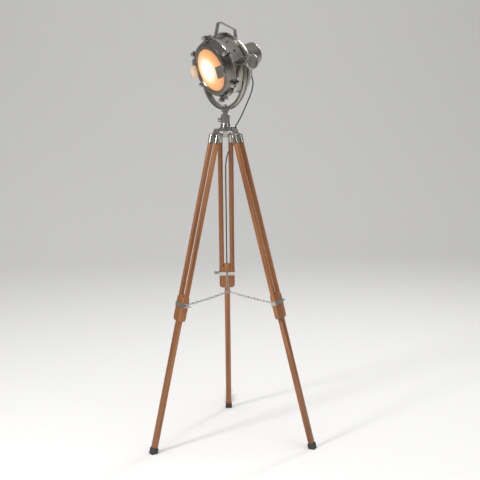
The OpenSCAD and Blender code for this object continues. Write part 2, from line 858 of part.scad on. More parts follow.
module side_plates() {
    inner = lens_open_r + 5;
    color(bright) beam_place()
        for (a = [-90, 90])
            around_beam(a) {
                translate([inner, -plate_h / 2, bezel_front + 2]) cube([side_plate_t, plate_h, plate_len]);
                translate([inner - 1, -plate_h / 2, bezel_front]) cube([11, plate_h, side_plate_t]);
                for (s = [-1, 1])
                    translate([inner + 6.5, s * plate_h * 0.3, bezel_front + side_plate_t - 0.2]) button(3, 1, 1.5);
            }
}

module swing_bolts() {
    color(bright) beam_place()
        for (k = [0:swing_count - 1])
            around_beam(k * 360 / swing_count)
                translate([swing_r, 0, 0]) {
                    translate([0, 0, lug_mid]) along_y() cylinder(r = 5, h = 6, center = true, $fn = 32);
                    translate([0, 0, lug_mid]) along_y() cylinder(r = 2.5, h = 15, center = true, $fn = 32);
                    round_bar(2.6, lug_mid, ear_z + ear_t + 14);
                }
}

module thumb_nuts() {
    color(bright) beam_place()
        for (k = [0:swing_count - 1])
            around_beam(k * 360 / swing_count)
                translate([swing_r, 0, ear_z + ear_t])
                    difference() {
                        union() {
                            cylinder(r = 6.5, h = 3, $fn = 32);
                            translate([0, 0, 3]) button(8.5, 8, 2);
                        }
                        round_bar(2.66, -1, 14.1);
                        for (j = [0:9])
                            rotate([0, 0, 36 * j]) translate([9.1, 0, 3.5]) cylinder(r = 1.3, h = 12, $fn = 16);
                    }
}

// ---------- handle ----------

// Point at the distance e from the dome's surface, at z along the beam, as [forward, up].
function on_dome(z, e) =
    let (at = function(q) dome_radius((dome_z - 6 - q) / (dome_len - 6)),
         slope = at(z + 0.5) - at(z - 0.5))
    [z, at(z)] + e / norm([slope, 1]) * [-slope, 1];

// Points of the handle's strap above the beam's axis, as [forward, up].
foot_rise = strap_t / 2 + 0.5;
handle_line = [
    [handle_front, drum_r + foot_rise],
    [handle_front - handle_foot, drum_r + foot_rise],
    [handle_front - handle_foot - handle_lean, drum_r + handle_rise],
    [handle_front - handle_foot - handle_lean - handle_span, drum_r + handle_rise - handle_fall],
    on_dome(dome_z - 54, foot_rise), on_dome(dome_z - 63, foot_rise)
];

// The line p with each inner corner turned into an arc of radius r.
function bent(p, r) = concat([p[0]],
    [for (k = [1:len(p) - 2])
        let (u = unit(p[k] - p[k - 1]),
             v = unit(p[k + 1] - p[k]),
             turn = acos(max(-1, min(1, u * v))),
             side = u[0] * v[1] - u[1] * v[0] > 0 ? 1 : -1,
             cut = min(r * tan(turn / 2), 0.45 * min(norm(p[k] - p[k - 1]), norm(p[k + 1] - p[k]))),
             rr = cut / tan(turn / 2),
             centre = p[k] - cut * u + side * rr * [-u[1], u[0]])
        for (j = [0:5])
            let (a = side * (turn * j / 5 - 90) + atan2(u[1], u[0]))
            centre + rr * [cos(a), sin(a)]],
    [p[len(p) - 1]]);

// Outline of a strip of thickness t along the line p.
module strap_outline(p, t) {
    last = len(p) - 1;
    n = [for (k = [0:last])
        let (u = unit(p[min(k + 1, last)] - p[max(k - 1, 0)]))
        [-u[1], u[0]] * t / 2];
    polygon(concat([for (k = [0:last]) p[k] + n[k]], [for (k = [last:-1:0]) p[k] - n[k]]));
}

module handle() {
    color(bright) head_place() translate([0, 0, -pivot_rise])
        rotate([90, 0, 0])
            linear_extrude(strap_w, center = true)
                strap_outline(bent(handle_line, strap_bend), strap_t);
}

// Screws of the handle, and the bolts with their nuts that join the drum and the dome.
module head_screws() {
    color(nickel) beam_place()
        for (k = [0:flange_bolts - 1])
            around_beam((k + 0.5) * 360 / flange_bolts)
                translate([flange_mid, 0, 0]) {
                    round_bar(2, dome_z - flange_t - 1, dome_z + flange_t + 4);
                    translate([0, 0, dome_z - flange_t - 2.6]) cylinder(r = 3, h = 2.6, $fn = 6);
                    translate([0, 0, dome_z + flange_t]) cylinder(r = 3.2, h = 2.8, $fn = 6);
                }
    color(nickel) head_place() translate([0, 0, -pivot_rise]) {
        translate([handle_front - 7, 0, drum_r + foot_rise + strap_t / 2]) button(4.5, 2, 2);
        p = handle_line[4];
        q = handle_line[5];
        lean = atan2(q[1] - p[1], q[0] - p[0]) + 180;
        translate([(p[0] + q[0]) / 2, 0, (p[1] + q[1]) / 2])
            rotate([0, -lean, 0]) translate([0, 0, strap_t / 2]) button(4, 1.5, 1.5);
    }
}

// ---------- cable gland, cord, plug ----------

module cable_gland() {
    color(black) beam_place()
        translate([0, 0, gland_z]) rotate([0, 90, 0])
            rotate_extrude($fn = 32)
                polygon([
                    [0, can_in - 8], [6, can_in - 8], [6, can_r + 3], [9, can_r + 3], [9, can_r + 9],
                    [6, can_r + 12], [cord_d / 2 + 0.8, can_r + 38], [0, can_r + 38]
                ]);
}

function unit(v) = v / norm(v);

// Smooth curve through the points p, with n steps in each stretch, and its neighbours at both ends.
function smooth(p, n, before, after) = concat(
    [for (i = [0:len(p) - 2])
        let (a = i > 0 ? p[i - 1] : before,
             b = p[i],
             c = p[i + 1],
             d = i < len(p) - 2 ? p[i + 2] : after)
        for (j = [0:n - 1])
            let (t = j / n)
            0.5 * ((2 * b) + (c - a) * t + (2 * a - 5 * b + 4 * c - d) * t * t
                + (3 * b - a - 3 * c + d) * t * t * t)],
    [p[len(p) - 1]]);

function path_length(p) = len(p) < 2 ? 0 : norm(p[1] - p[0]) + path_length([for (i = [1:len(p) - 1]) p[i]]);

function heading(p, i) = unit(p[min(i + 1, len(p) - 1)] - p[max(i - 1, 0)]);

// Tube of diameter d swept along p as one closed skin with flat ends.
module tube(p, d, sides) {
    t = [for (i = [0:len(p) - 1]) heading(p, i)];
    start = abs(t[0][0]) < 0.9 ? [1, 0, 0] : [0, 1, 0];
    n = [for (i = 0, v = unit(cross(t[0], start)); i < len(p);
              i = i + 1, v = i < len(p) ? unit(v - (v * t[i]) * t[i]) : v) v];
    points = [for (i = [0:len(p) - 1])
        let (side = cross(t[i], n[i]))
        for (k = [0:sides - 1])
            p[i] + d / 2 * (cos(360 * k / sides) * n[i] + sin(360 * k / sides) * side)];
    last = (len(p) - 1) * sides;
    faces = concat(
        [for (i = [0:len(p) - 2])
            for (k = [0:sides - 1])
                let (a = i * sides + k, b = i * sides + (k + 1) % sides)
                each [[a, b, b + sides], [a, b + sides, a + sides]]],
        [for (k = [1:sides - 2]) [0, k + 1, k]],
        [for (k = [1:sides - 2]) [last, last + k, last + k + 1]]);
    polyhedron(points = points, faces = [for (f = faces) [f[0], f[2], f[1]]]);
}

// A point on the rear leg, given in its leg frame, measured from the stem axis on the floor.
function on_rear_leg(p) =
    let (q = leg_point(p[0], p[2]))
    [-p[1], q[0], q[1]];

// Cord route measured from the stem axis: gland, clip on the hub, rear leg, floor.
clip_at = [42, 21, plate_z + 7];
free_at = [92, 67, pivot_height - 172];
head_route = [[115.1, 76.2, pivot_height - 58.4], [118.8, 78.6, pivot_height - 73], [120, 80, pivot_height - 91],
    [115, 78, pivot_height - 117], [104, 73, pivot_height - 146], free_at];
yoke_route = [free_at,
    for (q = [[78, 58, 0.704], [64, 45, 0.43], [51, 33, 0.22], [43.5, 23.3, 0.12], [42, 21, 0.06]])
        [q[0], q[1], clip_at[2] + q[2] * (free_at[2] - clip_at[2])],
    clip_at];
hub_route = [clip_at, [42, 21, hinge_height + 21], [44, 27, hinge_height + 9], [46, 42, hinge_height - 8],
    [43, 64, hinge_height - 26], [30, 82, hinge_height - 48], [13, 93, hinge_height - 73]];

// The stretches along the rear leg, in its leg frame.
cord_x = band_x + clamp_wall + cord_d / 2 + 0.6;
meet_z = -rear_clamp_drop - 16;
leg_line = [[cord_x + 0.2, -2, -125], [cord_x, 0, -180], [cord_x, 0, -400], [cord_x, 0, meet_z + 90], [cord_x, 0, meet_z]];
foot_line = [[cord_x, 0, meet_z], [cord_x, 0, meet_z - 110], [cord_x, 0, meet_z - 250], [cord_x, 0, -leg_len + 230],
    [cord_x, 0, -leg_len + 90], [cord_x, 0, -leg_len + 43]];
floor_route = [for (q = [[0.5, 10.4, 20.7], [2.5, 19, 7.9], [5.5, 32, 2.8], [8.6, 47, 2.6], [10.2, 58.8, 2.6], [10.5, 69.1, 2.6]])
    [q[0], foot_radius + q[1], q[2]]];

leg_route = concat(hub_route, [for (p = leg_line) on_rear_leg(p)]);
foot_route = concat([for (p = foot_line) on_rear_leg(p)], floor_route);

// Cord stretch along the route, which heads for the points before and after it at its ends.
module cord_run(route, steps, before, after) {
    line = smooth(route, steps, before, after);
    last = len(line) - 1;
    color(black) stand_place()
        tube([for (k = [0:last])
            k == 0 ? line[0] + cord_part * unit(line[1] - line[0])
            : k == last ? line[last] + cord_part * unit(line[last - 1] - line[last])
            : line[k]], cord_d, 8);
}

// Hank of loops behind the rear foot, standing on edge and drawn in at its waist.
hank_loops = 3;
hank_step = 5.6;      // sideways step from loop to loop
hank_fold = 15;       // radius of the folds at both ends
hank_run = 37.5;      // half length of the straight runs between the folds
hank_waist = 3.1;     // half height at the waist, to the middle of the cord
hank_mid = [3.4, foot_radius + 119, hank_fold + cord_d / 2 + 0.1];
hank_turn = 88.5;
run_rings = 6;
fold_rings = 6;
loop_rings = 2 * (run_rings + fold_rings);

function drawn_in(x) = hank_waist + (hank_fold - hank_waist) * (1 - cos(180 * abs(x) / hank_run)) / 2;

function loop_point(j) =
    j < run_rings
        ? let (x = hank_run * (2 * j / run_rings - 1)) [x, -drawn_in(x)]
    : j < run_rings + fold_rings
        ? let (a = -90 + 180 * (j - run_rings) / fold_rings)
            [hank_run + hank_fold * cos(a), hank_fold * sin(a)]
    : j < 2 * run_rings + fold_rings
        ? let (x = hank_run * (1 - 2 * (j - run_rings - fold_rings) / run_rings)) [x, drawn_in(x)]
    : let (a = 90 + 180 * (j - 2 * run_rings - fold_rings) / fold_rings)
        [-hank_run + hank_fold * cos(a), hank_fold * sin(a)];

// The cord steps sideways as it enters the near fold.
function hank_point(i) =
    let (j = i % loop_rings,
         p = loop_point(j),
         step = max(0, min(1, (j - 2 * run_rings - fold_rings) / (fold_rings - 2))),
         y = (floor(i / loop_rings) + step - hank_loops / 2) * hank_step)
    [p[0], y, p[1]];

hank_path = concat(
    [[-hank_run - 12, -hank_loops / 2 * hank_step, -hank_fold]],
    [for (i = [0:hank_loops * loop_rings + run_rings]) hank_point(i)],
    [for (x = [12, 24, 36]) [hank_run + x, hank_loops / 2 * hank_step, -hank_fold]]);

// Distance from the point p to the stretch from a to b.
function to_stretch(p, a, b) =
    let (t = max(0, min(1, (p - a) * (b - a) / ((b - a) * (b - a)))))
    norm(p - a - t * (b - a));

hank_gaps = [for (i = [0:len(hank_path) - 1])
    for (k = [0:len(hank_path) - 2])
        if (abs(i - k - 0.5) > 4) to_stretch(hank_path[i], hank_path[k], hank_path[k + 1]) - cord_d];
echo(least_gap_in_hank = min(hank_gaps), hank_length = path_length(hank_path));

module hank_place() {
    stand_place() translate(hank_mid) rotate([0, 0, hank_turn]) children();
}

module cord_hank() {
    color(black) hank_place() tube(hank_path, cord_d, 6);
}

module hank_tie() {
    high = 2 * hank_waist + cord_d + 2.2;
    wide = hank_loops * hank_step + cord_d + 1;
    color("#3a3835") hank_place()
        rotate([90, 0, 90]) linear_extrude(6, center = true)
            difference() {
                soft_rect(wide + 2.4, high + 2.4, 3.5);
                soft_rect(wide, high, 2.3);
            }
}

// Slim two-pin plug lying on its side behind the hank.
plug_l = 34;
plug_w = 20;
plug_h = 15;
plug_lift = plug_h / 2 - 2.6 + 0.1;

module plug() {
    end = hank_run + 36;
    relief = 24;
    color(black) hank_place()
        translate([end, hank_loops / 2 * hank_step, -hank_fold]) {
            rotate([0, 90, 0])
                rotate_extrude($fn = 32)
                    polygon([[0, 0], [cord_d / 2 + 0.1, 0], [cord_d / 2 + 0.1, 2], [2.6, 4], [2.6, relief], [0, relief]]);
            translate([relief - 2, -hank_loops / 2 * hank_step, plug_lift])
                rotate([90, 0, 90]) linear_extrude(plug_l) soft_rect(plug_w, plug_h, 3);
            for (s = [-1, 1])
                translate([relief - 2 + plug_l, -hank_loops / 2 * hank_step + s * 6.35, plug_lift])
                    translate([8.5, 0, 0]) cube([17, 1.5, 6.3], center = true);
        }
}

// Clip on the edge of the hub plate that holds the cord.
module cord_clip() {
    at = [42, 21];
    reach = norm(at);
    color(black) stand_place() rotate([0, 0, atan2(at[1], at[0])])
        difference() {
            union() {
                translate([reach, 0, plate_z + plate_t]) cylinder(r = cord_d / 2 + 2.3, h = 6, center = true, $fn = fine);
                translate([plate_r - 12, -5, plate_z + plate_t]) cube([reach - plate_r + 12, 10, 2]);
                translate([plate_r - 7, 0, plate_z + plate_t + 1.5]) button(3.2, 1.5, 1.2);
            }
            translate([reach, 0, plate_z + plate_t]) cylinder(r = cord_d / 2 + seat_gap, h = 20, center = true, $fn = fine);
        }
}

// ---------- node calls ----------

leg_rods(0);  // left_leg_rods
leg_ferrules(0);  // left_leg_ferrules
leg_cheeks(0);  // left_leg_cheeks
leg_clamp(0);  // left_leg_clamp
clamp_screw(0);  // left_clamp_screw
lower_leg(0);  // left_lower_leg
shoe(0);  // left_shoe
chain(0);  // left_chain
leg_rods(1);  // right_leg_rods
leg_ferrules(1);  // right_leg_ferrules
leg_cheeks(1);  // right_leg_cheeks
leg_clamp(1);  // right_leg_clamp
clamp_screw(1);  // right_clamp_screw
lower_leg(1);  // right_lower_leg
shoe(1);  // right_shoe
chain(1);  // right_chain
leg_rods(2);  // rear_leg_rods
leg_ferrules(2);  // rear_leg_ferrules
leg_cheeks(2);  // rear_leg_cheeks
leg_clamp(2);  // rear_leg_clamp
clamp_screw(2);  // rear_clamp_screw
lower_leg(2);  // rear_lower_leg
shoe(2);  // rear_shoe
chain(2);  // rear_chain
hub_plate();
leg_hinge_pins();
stem_socket();
stem_screw();
chain_ring();
cord_clip();
stem();
yoke();
yoke_nut();
near_tilt_knob();
far_tilt_knob();
tilt_bolts();
drum();
front_band();
rear_dome();
rear_can();
bezel_ring();
lens_glass();
lens_gasket();
reflector();
bulb();
lamp_holder();
lamp_bracket();
side_plates();
swing_bolts();
thumb_nuts();
handle();
head_screws();
cable_gland();
cord_run(head_route, 3, 2 * head_route[0] - head_route[1], yoke_route[1]);  // cord_head
cord_run(yoke_route, 2, head_route[4], hub_route[1]);  // cord_yoke
cord_run(leg_route, 2, yoke_route[5], on_rear_leg(foot_line[1]));  // cord_leg
cord_run(foot_route, 2, on_rear_leg(leg_line[3]), foot_route[len(foot_route) - 1] + [0.3, 11, 0]);  // cord_foot
cord_hank();
hank_tie();
plug();
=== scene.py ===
"""Scene of a tripod spotlight floor lamp: finishes, timber, chains, mains lead, lens, light and camera."""

from __future__ import annotations

import json
import logging
import math
from dataclasses import dataclass, field
from enum import Enum
from typing import Any, Callable, Sequence

import bpy
from mathutils import Matrix, Vector


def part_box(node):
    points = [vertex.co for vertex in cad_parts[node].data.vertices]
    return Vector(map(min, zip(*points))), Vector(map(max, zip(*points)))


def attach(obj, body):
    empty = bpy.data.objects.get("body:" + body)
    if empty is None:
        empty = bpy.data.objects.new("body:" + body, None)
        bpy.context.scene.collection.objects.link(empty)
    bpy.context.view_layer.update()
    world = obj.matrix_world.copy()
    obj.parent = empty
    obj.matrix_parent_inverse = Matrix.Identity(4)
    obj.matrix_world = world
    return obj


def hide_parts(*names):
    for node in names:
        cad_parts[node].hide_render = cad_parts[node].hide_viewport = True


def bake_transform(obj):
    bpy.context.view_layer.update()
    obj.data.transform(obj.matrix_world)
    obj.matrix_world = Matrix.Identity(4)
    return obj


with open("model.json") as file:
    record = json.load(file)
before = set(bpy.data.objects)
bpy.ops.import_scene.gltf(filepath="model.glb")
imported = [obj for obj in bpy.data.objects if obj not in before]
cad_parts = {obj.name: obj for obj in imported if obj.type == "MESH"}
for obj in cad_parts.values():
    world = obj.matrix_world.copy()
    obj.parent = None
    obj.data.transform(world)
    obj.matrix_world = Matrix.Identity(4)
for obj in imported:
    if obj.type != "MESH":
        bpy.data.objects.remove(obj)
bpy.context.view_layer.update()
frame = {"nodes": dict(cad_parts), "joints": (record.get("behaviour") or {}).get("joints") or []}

log = logging.getLogger("lamp")
MM = 0.001
Point = Sequence[float]
Profile = Sequence[tuple[float, float]]
Colour = tuple[float, float, float]
Socket = bpy.types.NodeSocket


# ---------------------------------------------------------------- node helpers


class Graph:
    """Node tree with short calls to add and link nodes."""

    def __init__(self, tree: bpy.types.NodeTree) -> None:
        """Keep the node tree of a material, a group or the world."""
        self.tree = tree

    def add(self, kind: str, **values: object) -> bpy.types.Node:
        """Add a node.

        Args:
            kind: Blender's node type, without the ShaderNode prefix.
            **values: Attributes of the node; a name that starts with "in_" sets an input socket.

        Returns:
            The new node.
        """
        node = self.tree.nodes.new("ShaderNode" + kind)
        for name, value in values.items():
            if name.startswith("in_"):
                node.inputs[name[3:].replace("_", " ")].default_value = value
            else:
                setattr(node, name, value)
        return node

    def link(self, source: Socket, target: Socket) -> None:
        """Link one socket to another."""
        self.tree.links.new(source, target)

    def math(self, operation: str, a: Socket | float, b: Socket | float = 0.0) -> Socket:
        """Add a Math node.

        Args:
            operation: Name of the operation.
            a: First value, a socket or a number.
            b: Second value, a socket or a number.

        Returns:
            The node's output socket.
        """
        node = self.add("Math", operation=operation)
        for socket, value in zip(node.inputs, (a, b)):
            self._feed(socket, value)
        return node.outputs[0]

    def _feed(self, socket: Socket, value: Socket | float) -> None:
        """Link a socket to an input, or write a number in it.

        Args:
            socket: The input.
            value: A socket or a number.
        """
        if isinstance(value, Socket):
            self.link(value, socket)
        else:
            socket.default_value = float(value)

    def noise(self, vector: Socket, scale: Socket | float, detail: float, rough: float = 0.5,
              distortion: float = 0.0) -> Socket:
        """Add a noise texture.

        Args:
            vector: Coordinates that it reads.
            scale: Number of blotches in a metre.
            detail: Number of finer layers.
            rough: Strength of the finer layers.
            distortion: How far the pattern is pushed about.

        Returns:
            The noise value's socket.
        """
        node = self.add("TexNoise", in_Detail=detail, in_Roughness=rough, in_Distortion=distortion)
        self.link(vector, node.inputs["Vector"])
        self._feed(node.inputs["Scale"], scale)
        return node.outputs["Fac"]

    def ramp(self, factor: Socket, stops: Sequence[tuple[float, Colour]]) -> Socket:
        """Add a colour ramp.

        Args:
            factor: Value that picks the colour.
            stops: Places from 0 to 1 with their colours.

        Returns:
            The colour's socket.
        """
        node = self.add("ValToRGB")
        band = node.color_ramp.elements
        while len(band) < len(stops):
            band.new(0.5)
        for element, (place, colour) in zip(band, stops):
            element.position = place
            element.color = (*colour, 1.0)
        self.link(factor, node.inputs["Fac"])
        return node.outputs["Color"]

    def span(self, value: Socket, low: float, high: float, to_low: float = 0.0,
             to_high: float = 1.0) -> Socket:
        """Map one span of values onto another.

        Args:
            value: Value to map.
            low: Start of its span.
            high: End of its span.
            to_low: Result at the start.
            to_high: Result at the end.

        Returns:
            The mapped value's socket.
        """
        node = self.add("MapRange", in_From_Min=low, in_From_Max=high, in_To_Min=to_low, in_To_Max=to_high)
        self.link(value, node.inputs["Value"])
        return node.outputs["Result"]

    def use(self, group: bpy.types.NodeTree, vector: Socket, **values: float) -> bpy.types.Node:
        """Place a shader group.

        Args:
            group: The group to place.
            vector: Coordinates that it reads.
            **values: Values of its other inputs.

        Returns:
            The group node.
        """
        node = self.add("Group", node_tree=group)
        self.link(vector, node.inputs["Vector"])
        for name, value in values.items():
            node.inputs[name].default_value = value
        return node


def new_group(name: str, inputs: dict[str, float], outputs: Sequence[str]
              ) -> tuple[Graph, bpy.types.Node, bpy.types.Node]:
    """Make an empty shader group that reads coordinates.

    Args:
        name: Name of the group.
        inputs: Names of its number inputs beside Vector, with their defaults.
        outputs: Names of its number outputs.

    Returns:
        The group's graph, its input node and its output node.
    """
    tree = bpy.data.node_groups.new(name, "ShaderNodeTree")
    tree.interface.new_socket("Vector", in_out="INPUT", socket_type="NodeSocketVector")
    for label, value in inputs.items():
        socket = tree.interface.new_socket(label, in_out="INPUT", socket_type="NodeSocketFloat")
        socket.default_value = value
    for label in outputs:
        tree.interface.new_socket(label, in_out="OUTPUT", socket_type="NodeSocketFloat")
    return Graph(tree), tree.nodes.new("NodeGroupInput"), tree.nodes.new("NodeGroupOutput")


class Effects:
    """Shader groups that several finishes share."""

    def __init__(self) -> None:
        """Build every group once."""
        self.grain = self._grain()
        self.handling = self._handling()
        self.patina = self._patina()

    @staticmethod
    def _grain() -> bpy.types.NodeTree:
        """Timber grain that runs along Z.

        Returns:
            The group, with the outputs Tone, Pores and Sheen.
        """
        g, start, end = new_group(
            "timber_grain", {"Figure": 60.0, "Stretch": 0.05}, ("Tone", "Pores", "Sheen"))
        size = g.add("CombineXYZ", in_X=1.0, in_Y=1.0)
        g.link(start.outputs["Stretch"], size.inputs["Z"])
        drawn = g.add("VectorMath", operation="MULTIPLY")
        g.link(start.outputs["Vector"], drawn.inputs[0])
        g.link(size.outputs[0], drawn.inputs[1])
        fibre = drawn.outputs[0]
        drift = g.noise(fibre, 26.0, 3.0)
        figure = g.noise(fibre, start.outputs["Figure"], 6.0, 0.62, 0.6)
        rings = g.add("TexWave", wave_type="RINGS", rings_direction="Z", in_Scale=62.0, in_Distortion=5.0,
                      in_Detail=2.0)
        g.link(fibre, rings.inputs["Vector"])
        mixed = g.math("ADD", g.math("MULTIPLY", figure, 0.55), g.math("MULTIPLY", rings.outputs["Fac"], 0.2))
        g.link(g.math("ADD", mixed, g.math("MULTIPLY", drift, 0.3)), end.inputs["Tone"])
        g.link(g.span(g.noise(fibre, 900.0, 2.0, 0.7), 0.52, 0.72), end.inputs["Pores"])
        g.link(g.noise(start.outputs["Vector"], 14.0, 3.0), end.inputs["Sheen"])
        return g.tree

    @staticmethod
    def _handling() -> bpy.types.NodeTree:
        """Smudges and fine scratches from being handled and wiped.

        Returns:
            The group, with the outputs Smudge and Scratch.
        """
        g, start, end = new_group("handling_marks", {"Size": 30.0}, ("Smudge", "Scratch"))
        cloud = g.noise(start.outputs["Vector"], start.outputs["Size"], 5.0, 0.55)
        g.link(g.span(cloud, 0.35, 0.7), end.inputs["Smudge"])
        turned = g.add("Mapping", in_Rotation=(0.6, 0.3, 0.9), in_Scale=(1.0, 14.0, 1.0))
        g.link(start.outputs["Vector"], turned.inputs["Vector"])
        lines = g.noise(turned.outputs["Vector"], 160.0, 2.0, 0.8)
        g.link(g.span(lines, 0.6, 0.78), end.inputs["Scratch"])
        return g.tree

    @staticmethod
    def _patina() -> bpy.types.NodeTree:
        """Slow change of tone that plated metal gets with age.

        Returns:
            The group, with the output Age.
        """
        g, start, end = new_group("plating_age", {"Size": 9.0}, ("Age",))
        wide = g.noise(start.outputs["Vector"], start.outputs["Size"], 3.0, 0.6)
        fine = g.noise(start.outputs["Vector"], 240.0, 4.0, 0.6)
        total = g.math("ADD", g.math("MULTIPLY", wide, 0.75), g.math("MULTIPLY", fine, 0.25))
        g.link(g.span(total, 0.36, 0.64), end.inputs["Age"])
        return g.tree


# ---------------------------------------------------------------- finishes


@dataclass(frozen=True)
class Finish:
    """Base of every finish: a name and the place of its pattern."""

    name: str
    place: Matrix = field(default_factory=lambda: Matrix.Identity(4))

    def start(self) -> tuple[bpy.types.Material, Graph, bpy.types.Node, Socket]:
        """Make the material with its shader and coordinates.

        Returns:
            The material, its graph, its Principled shader and the coordinates in the pattern's own frame.
        """
        material = bpy.data.materials.new(self.name)
        material.use_nodes = True
        g = Graph(material.node_tree)
        shader = material.node_tree.nodes["Principled BSDF"]
        where = g.add("TexCoord")
        turn = g.add("Mapping", vector_type="TEXTURE", in_Location=self.place.to_translation(),
                     in_Rotation=self.place.to_euler())
        g.link(where.outputs["Object"], turn.inputs["Vector"])
        return material, g, shader, turn.outputs["Vector"]

    @staticmethod
    def bump(g: Graph, shader: bpy.types.Node, height: Socket, depth: float, strength: float) -> None:
        """Raise the surface by a height pattern.

        Args:
            g: The material's graph.
            shader: The shader that gets the normal.
            height: The pattern.
            depth: Its depth in metres.
            strength: Strength of the bump, from 0 to 1.
        """
        node = g.add("Bump", in_Strength=strength, in_Distance=depth)
        g.link(height, node.inputs["Height"])
        g.link(node.outputs["Normal"], shader.inputs["Normal"])


@dataclass(frozen=True)
class Timber(Finish):
    """Lacquered wood, with its grain along the frame's Z."""

    dark: Colour = (0.13, 0.04, 0.012)
    middle: Colour = (0.29, 0.105, 0.03)
    pale: Colour = (0.43, 0.18, 0.06)
    pore_shade: Colour = (0.35, 0.22, 0.14)
    pore_share: float = 0.45
    pore_depth: float = 0.12 * MM
    figure: float = 60.0
    stretch: float = 0.045
    smudges: float = 22.0
    gloss: float = 0.4
    lacquer: float = 0.18
    lacquer_rough: float = 0.28

    def build(self, effects: Effects) -> bpy.types.Material:
        """Build the timber's material.

        Args:
            effects: The shared shader groups.

        Returns:
            The material.
        """
        material, g, shader, vector = self.start()
        grain = g.use(effects.grain, vector, Figure=self.figure, Stretch=self.stretch)
        colour = g.ramp(grain.outputs["Tone"], [(0.3, self.dark), (0.5, self.middle), (0.72, self.pale)])
        dulled = g.add("Mix", data_type="RGBA", blend_type="MULTIPLY")
        g.link(g.math("MULTIPLY", grain.outputs["Pores"], self.pore_share), dulled.inputs["Factor"])
        g.link(colour, dulled.inputs[6])
        dulled.inputs[7].default_value = (*self.pore_shade, 1.0)
        g.link(dulled.outputs[2], shader.inputs["Base Color"])
        marks = g.use(effects.handling, vector, Size=self.smudges)
        sheen = g.span(grain.outputs["Sheen"], 0.3, 0.7, self.gloss - 0.05, self.gloss + 0.08)
        wiped = g.math("MULTIPLY", marks.outputs["Smudge"], 0.06)
        g.link(g.math("ADD", sheen, wiped), shader.inputs["Roughness"])
        shader.inputs["Coat Weight"].default_value = self.lacquer
        shader.inputs["Coat Roughness"].default_value = self.lacquer_rough
        self.bump(g, shader, grain.outputs["Pores"], -self.pore_depth, 0.35)
        return material


@dataclass(frozen=True)
class Plate(Finish):
    """Nickel or brass plate, with the polish and age that its values set."""

    bright: Colour = (0.61, 0.59, 0.55)
    aged: Colour = (0.44, 0.41, 0.36)
    rough: float = 0.16
    spread: float = 0.07
    patches: float = 11.0
    smudges: float = 38.0
    waves: float = 30.0
    wave_depth: float = 0.04 * MM

    def build(self, effects: Effects) -> bpy.types.Material:
        """Build the plated metal's material.

        Args:
            effects: The shared shader groups.

        Returns:
            The material.
        """
        material, g, shader, vector = self.start()
        age = g.use(effects.patina, vector, Size=self.patches)
        marks = g.use(effects.handling, vector, Size=self.smudges)
        tone = g.ramp(age.outputs["Age"], [(0.0, self.bright), (1.0, self.aged)])
        g.link(tone, shader.inputs["Base Color"])
        shader.inputs["Metallic"].default_value = 1.0
        worn = g.span(marks.outputs["Smudge"], 0.0, 1.0, self.rough, self.rough + self.spread)
        scratched = g.math("MULTIPLY", marks.outputs["Scratch"], 0.04)
        g.link(g.math("ADD", worn, scratched), shader.inputs["Roughness"])
        self.bump(g, shader, g.noise(vector, self.waves, 1.0), self.wave_depth, 0.1)
        return material


@dataclass(frozen=True)
class Moulded(Finish):
    """Rubber or plastic with a fine moulded grain and blotches of dust."""

    colour: Colour = (0.02, 0.02, 0.021)
    dusty: Colour = (0.07, 0.066, 0.06)
    rough: float = 0.6
    grain: float = 1400.0
    grain_depth: float = 0.12 * MM
    smudges: float = 45.0

    def build(self, effects: Effects) -> bpy.types.Material:
        """Build the moulded material.

        Args:
            effects: The shared shader groups.

        Returns:
            The material.
        """
        material, g, shader, vector = self.start()
        smudge = g.use(effects.handling, vector, Size=self.smudges).outputs["Smudge"]
        g.link(g.ramp(smudge, [(0.25, self.colour), (1.0, self.dusty)]), shader.inputs["Base Color"])
        g.link(g.span(smudge, 0.0, 1.0, self.rough - 0.06, self.rough + 0.14), shader.inputs["Roughness"])
        self.bump(g, shader, g.noise(vector, self.grain, 3.0), self.grain_depth, 0.3)
        return material


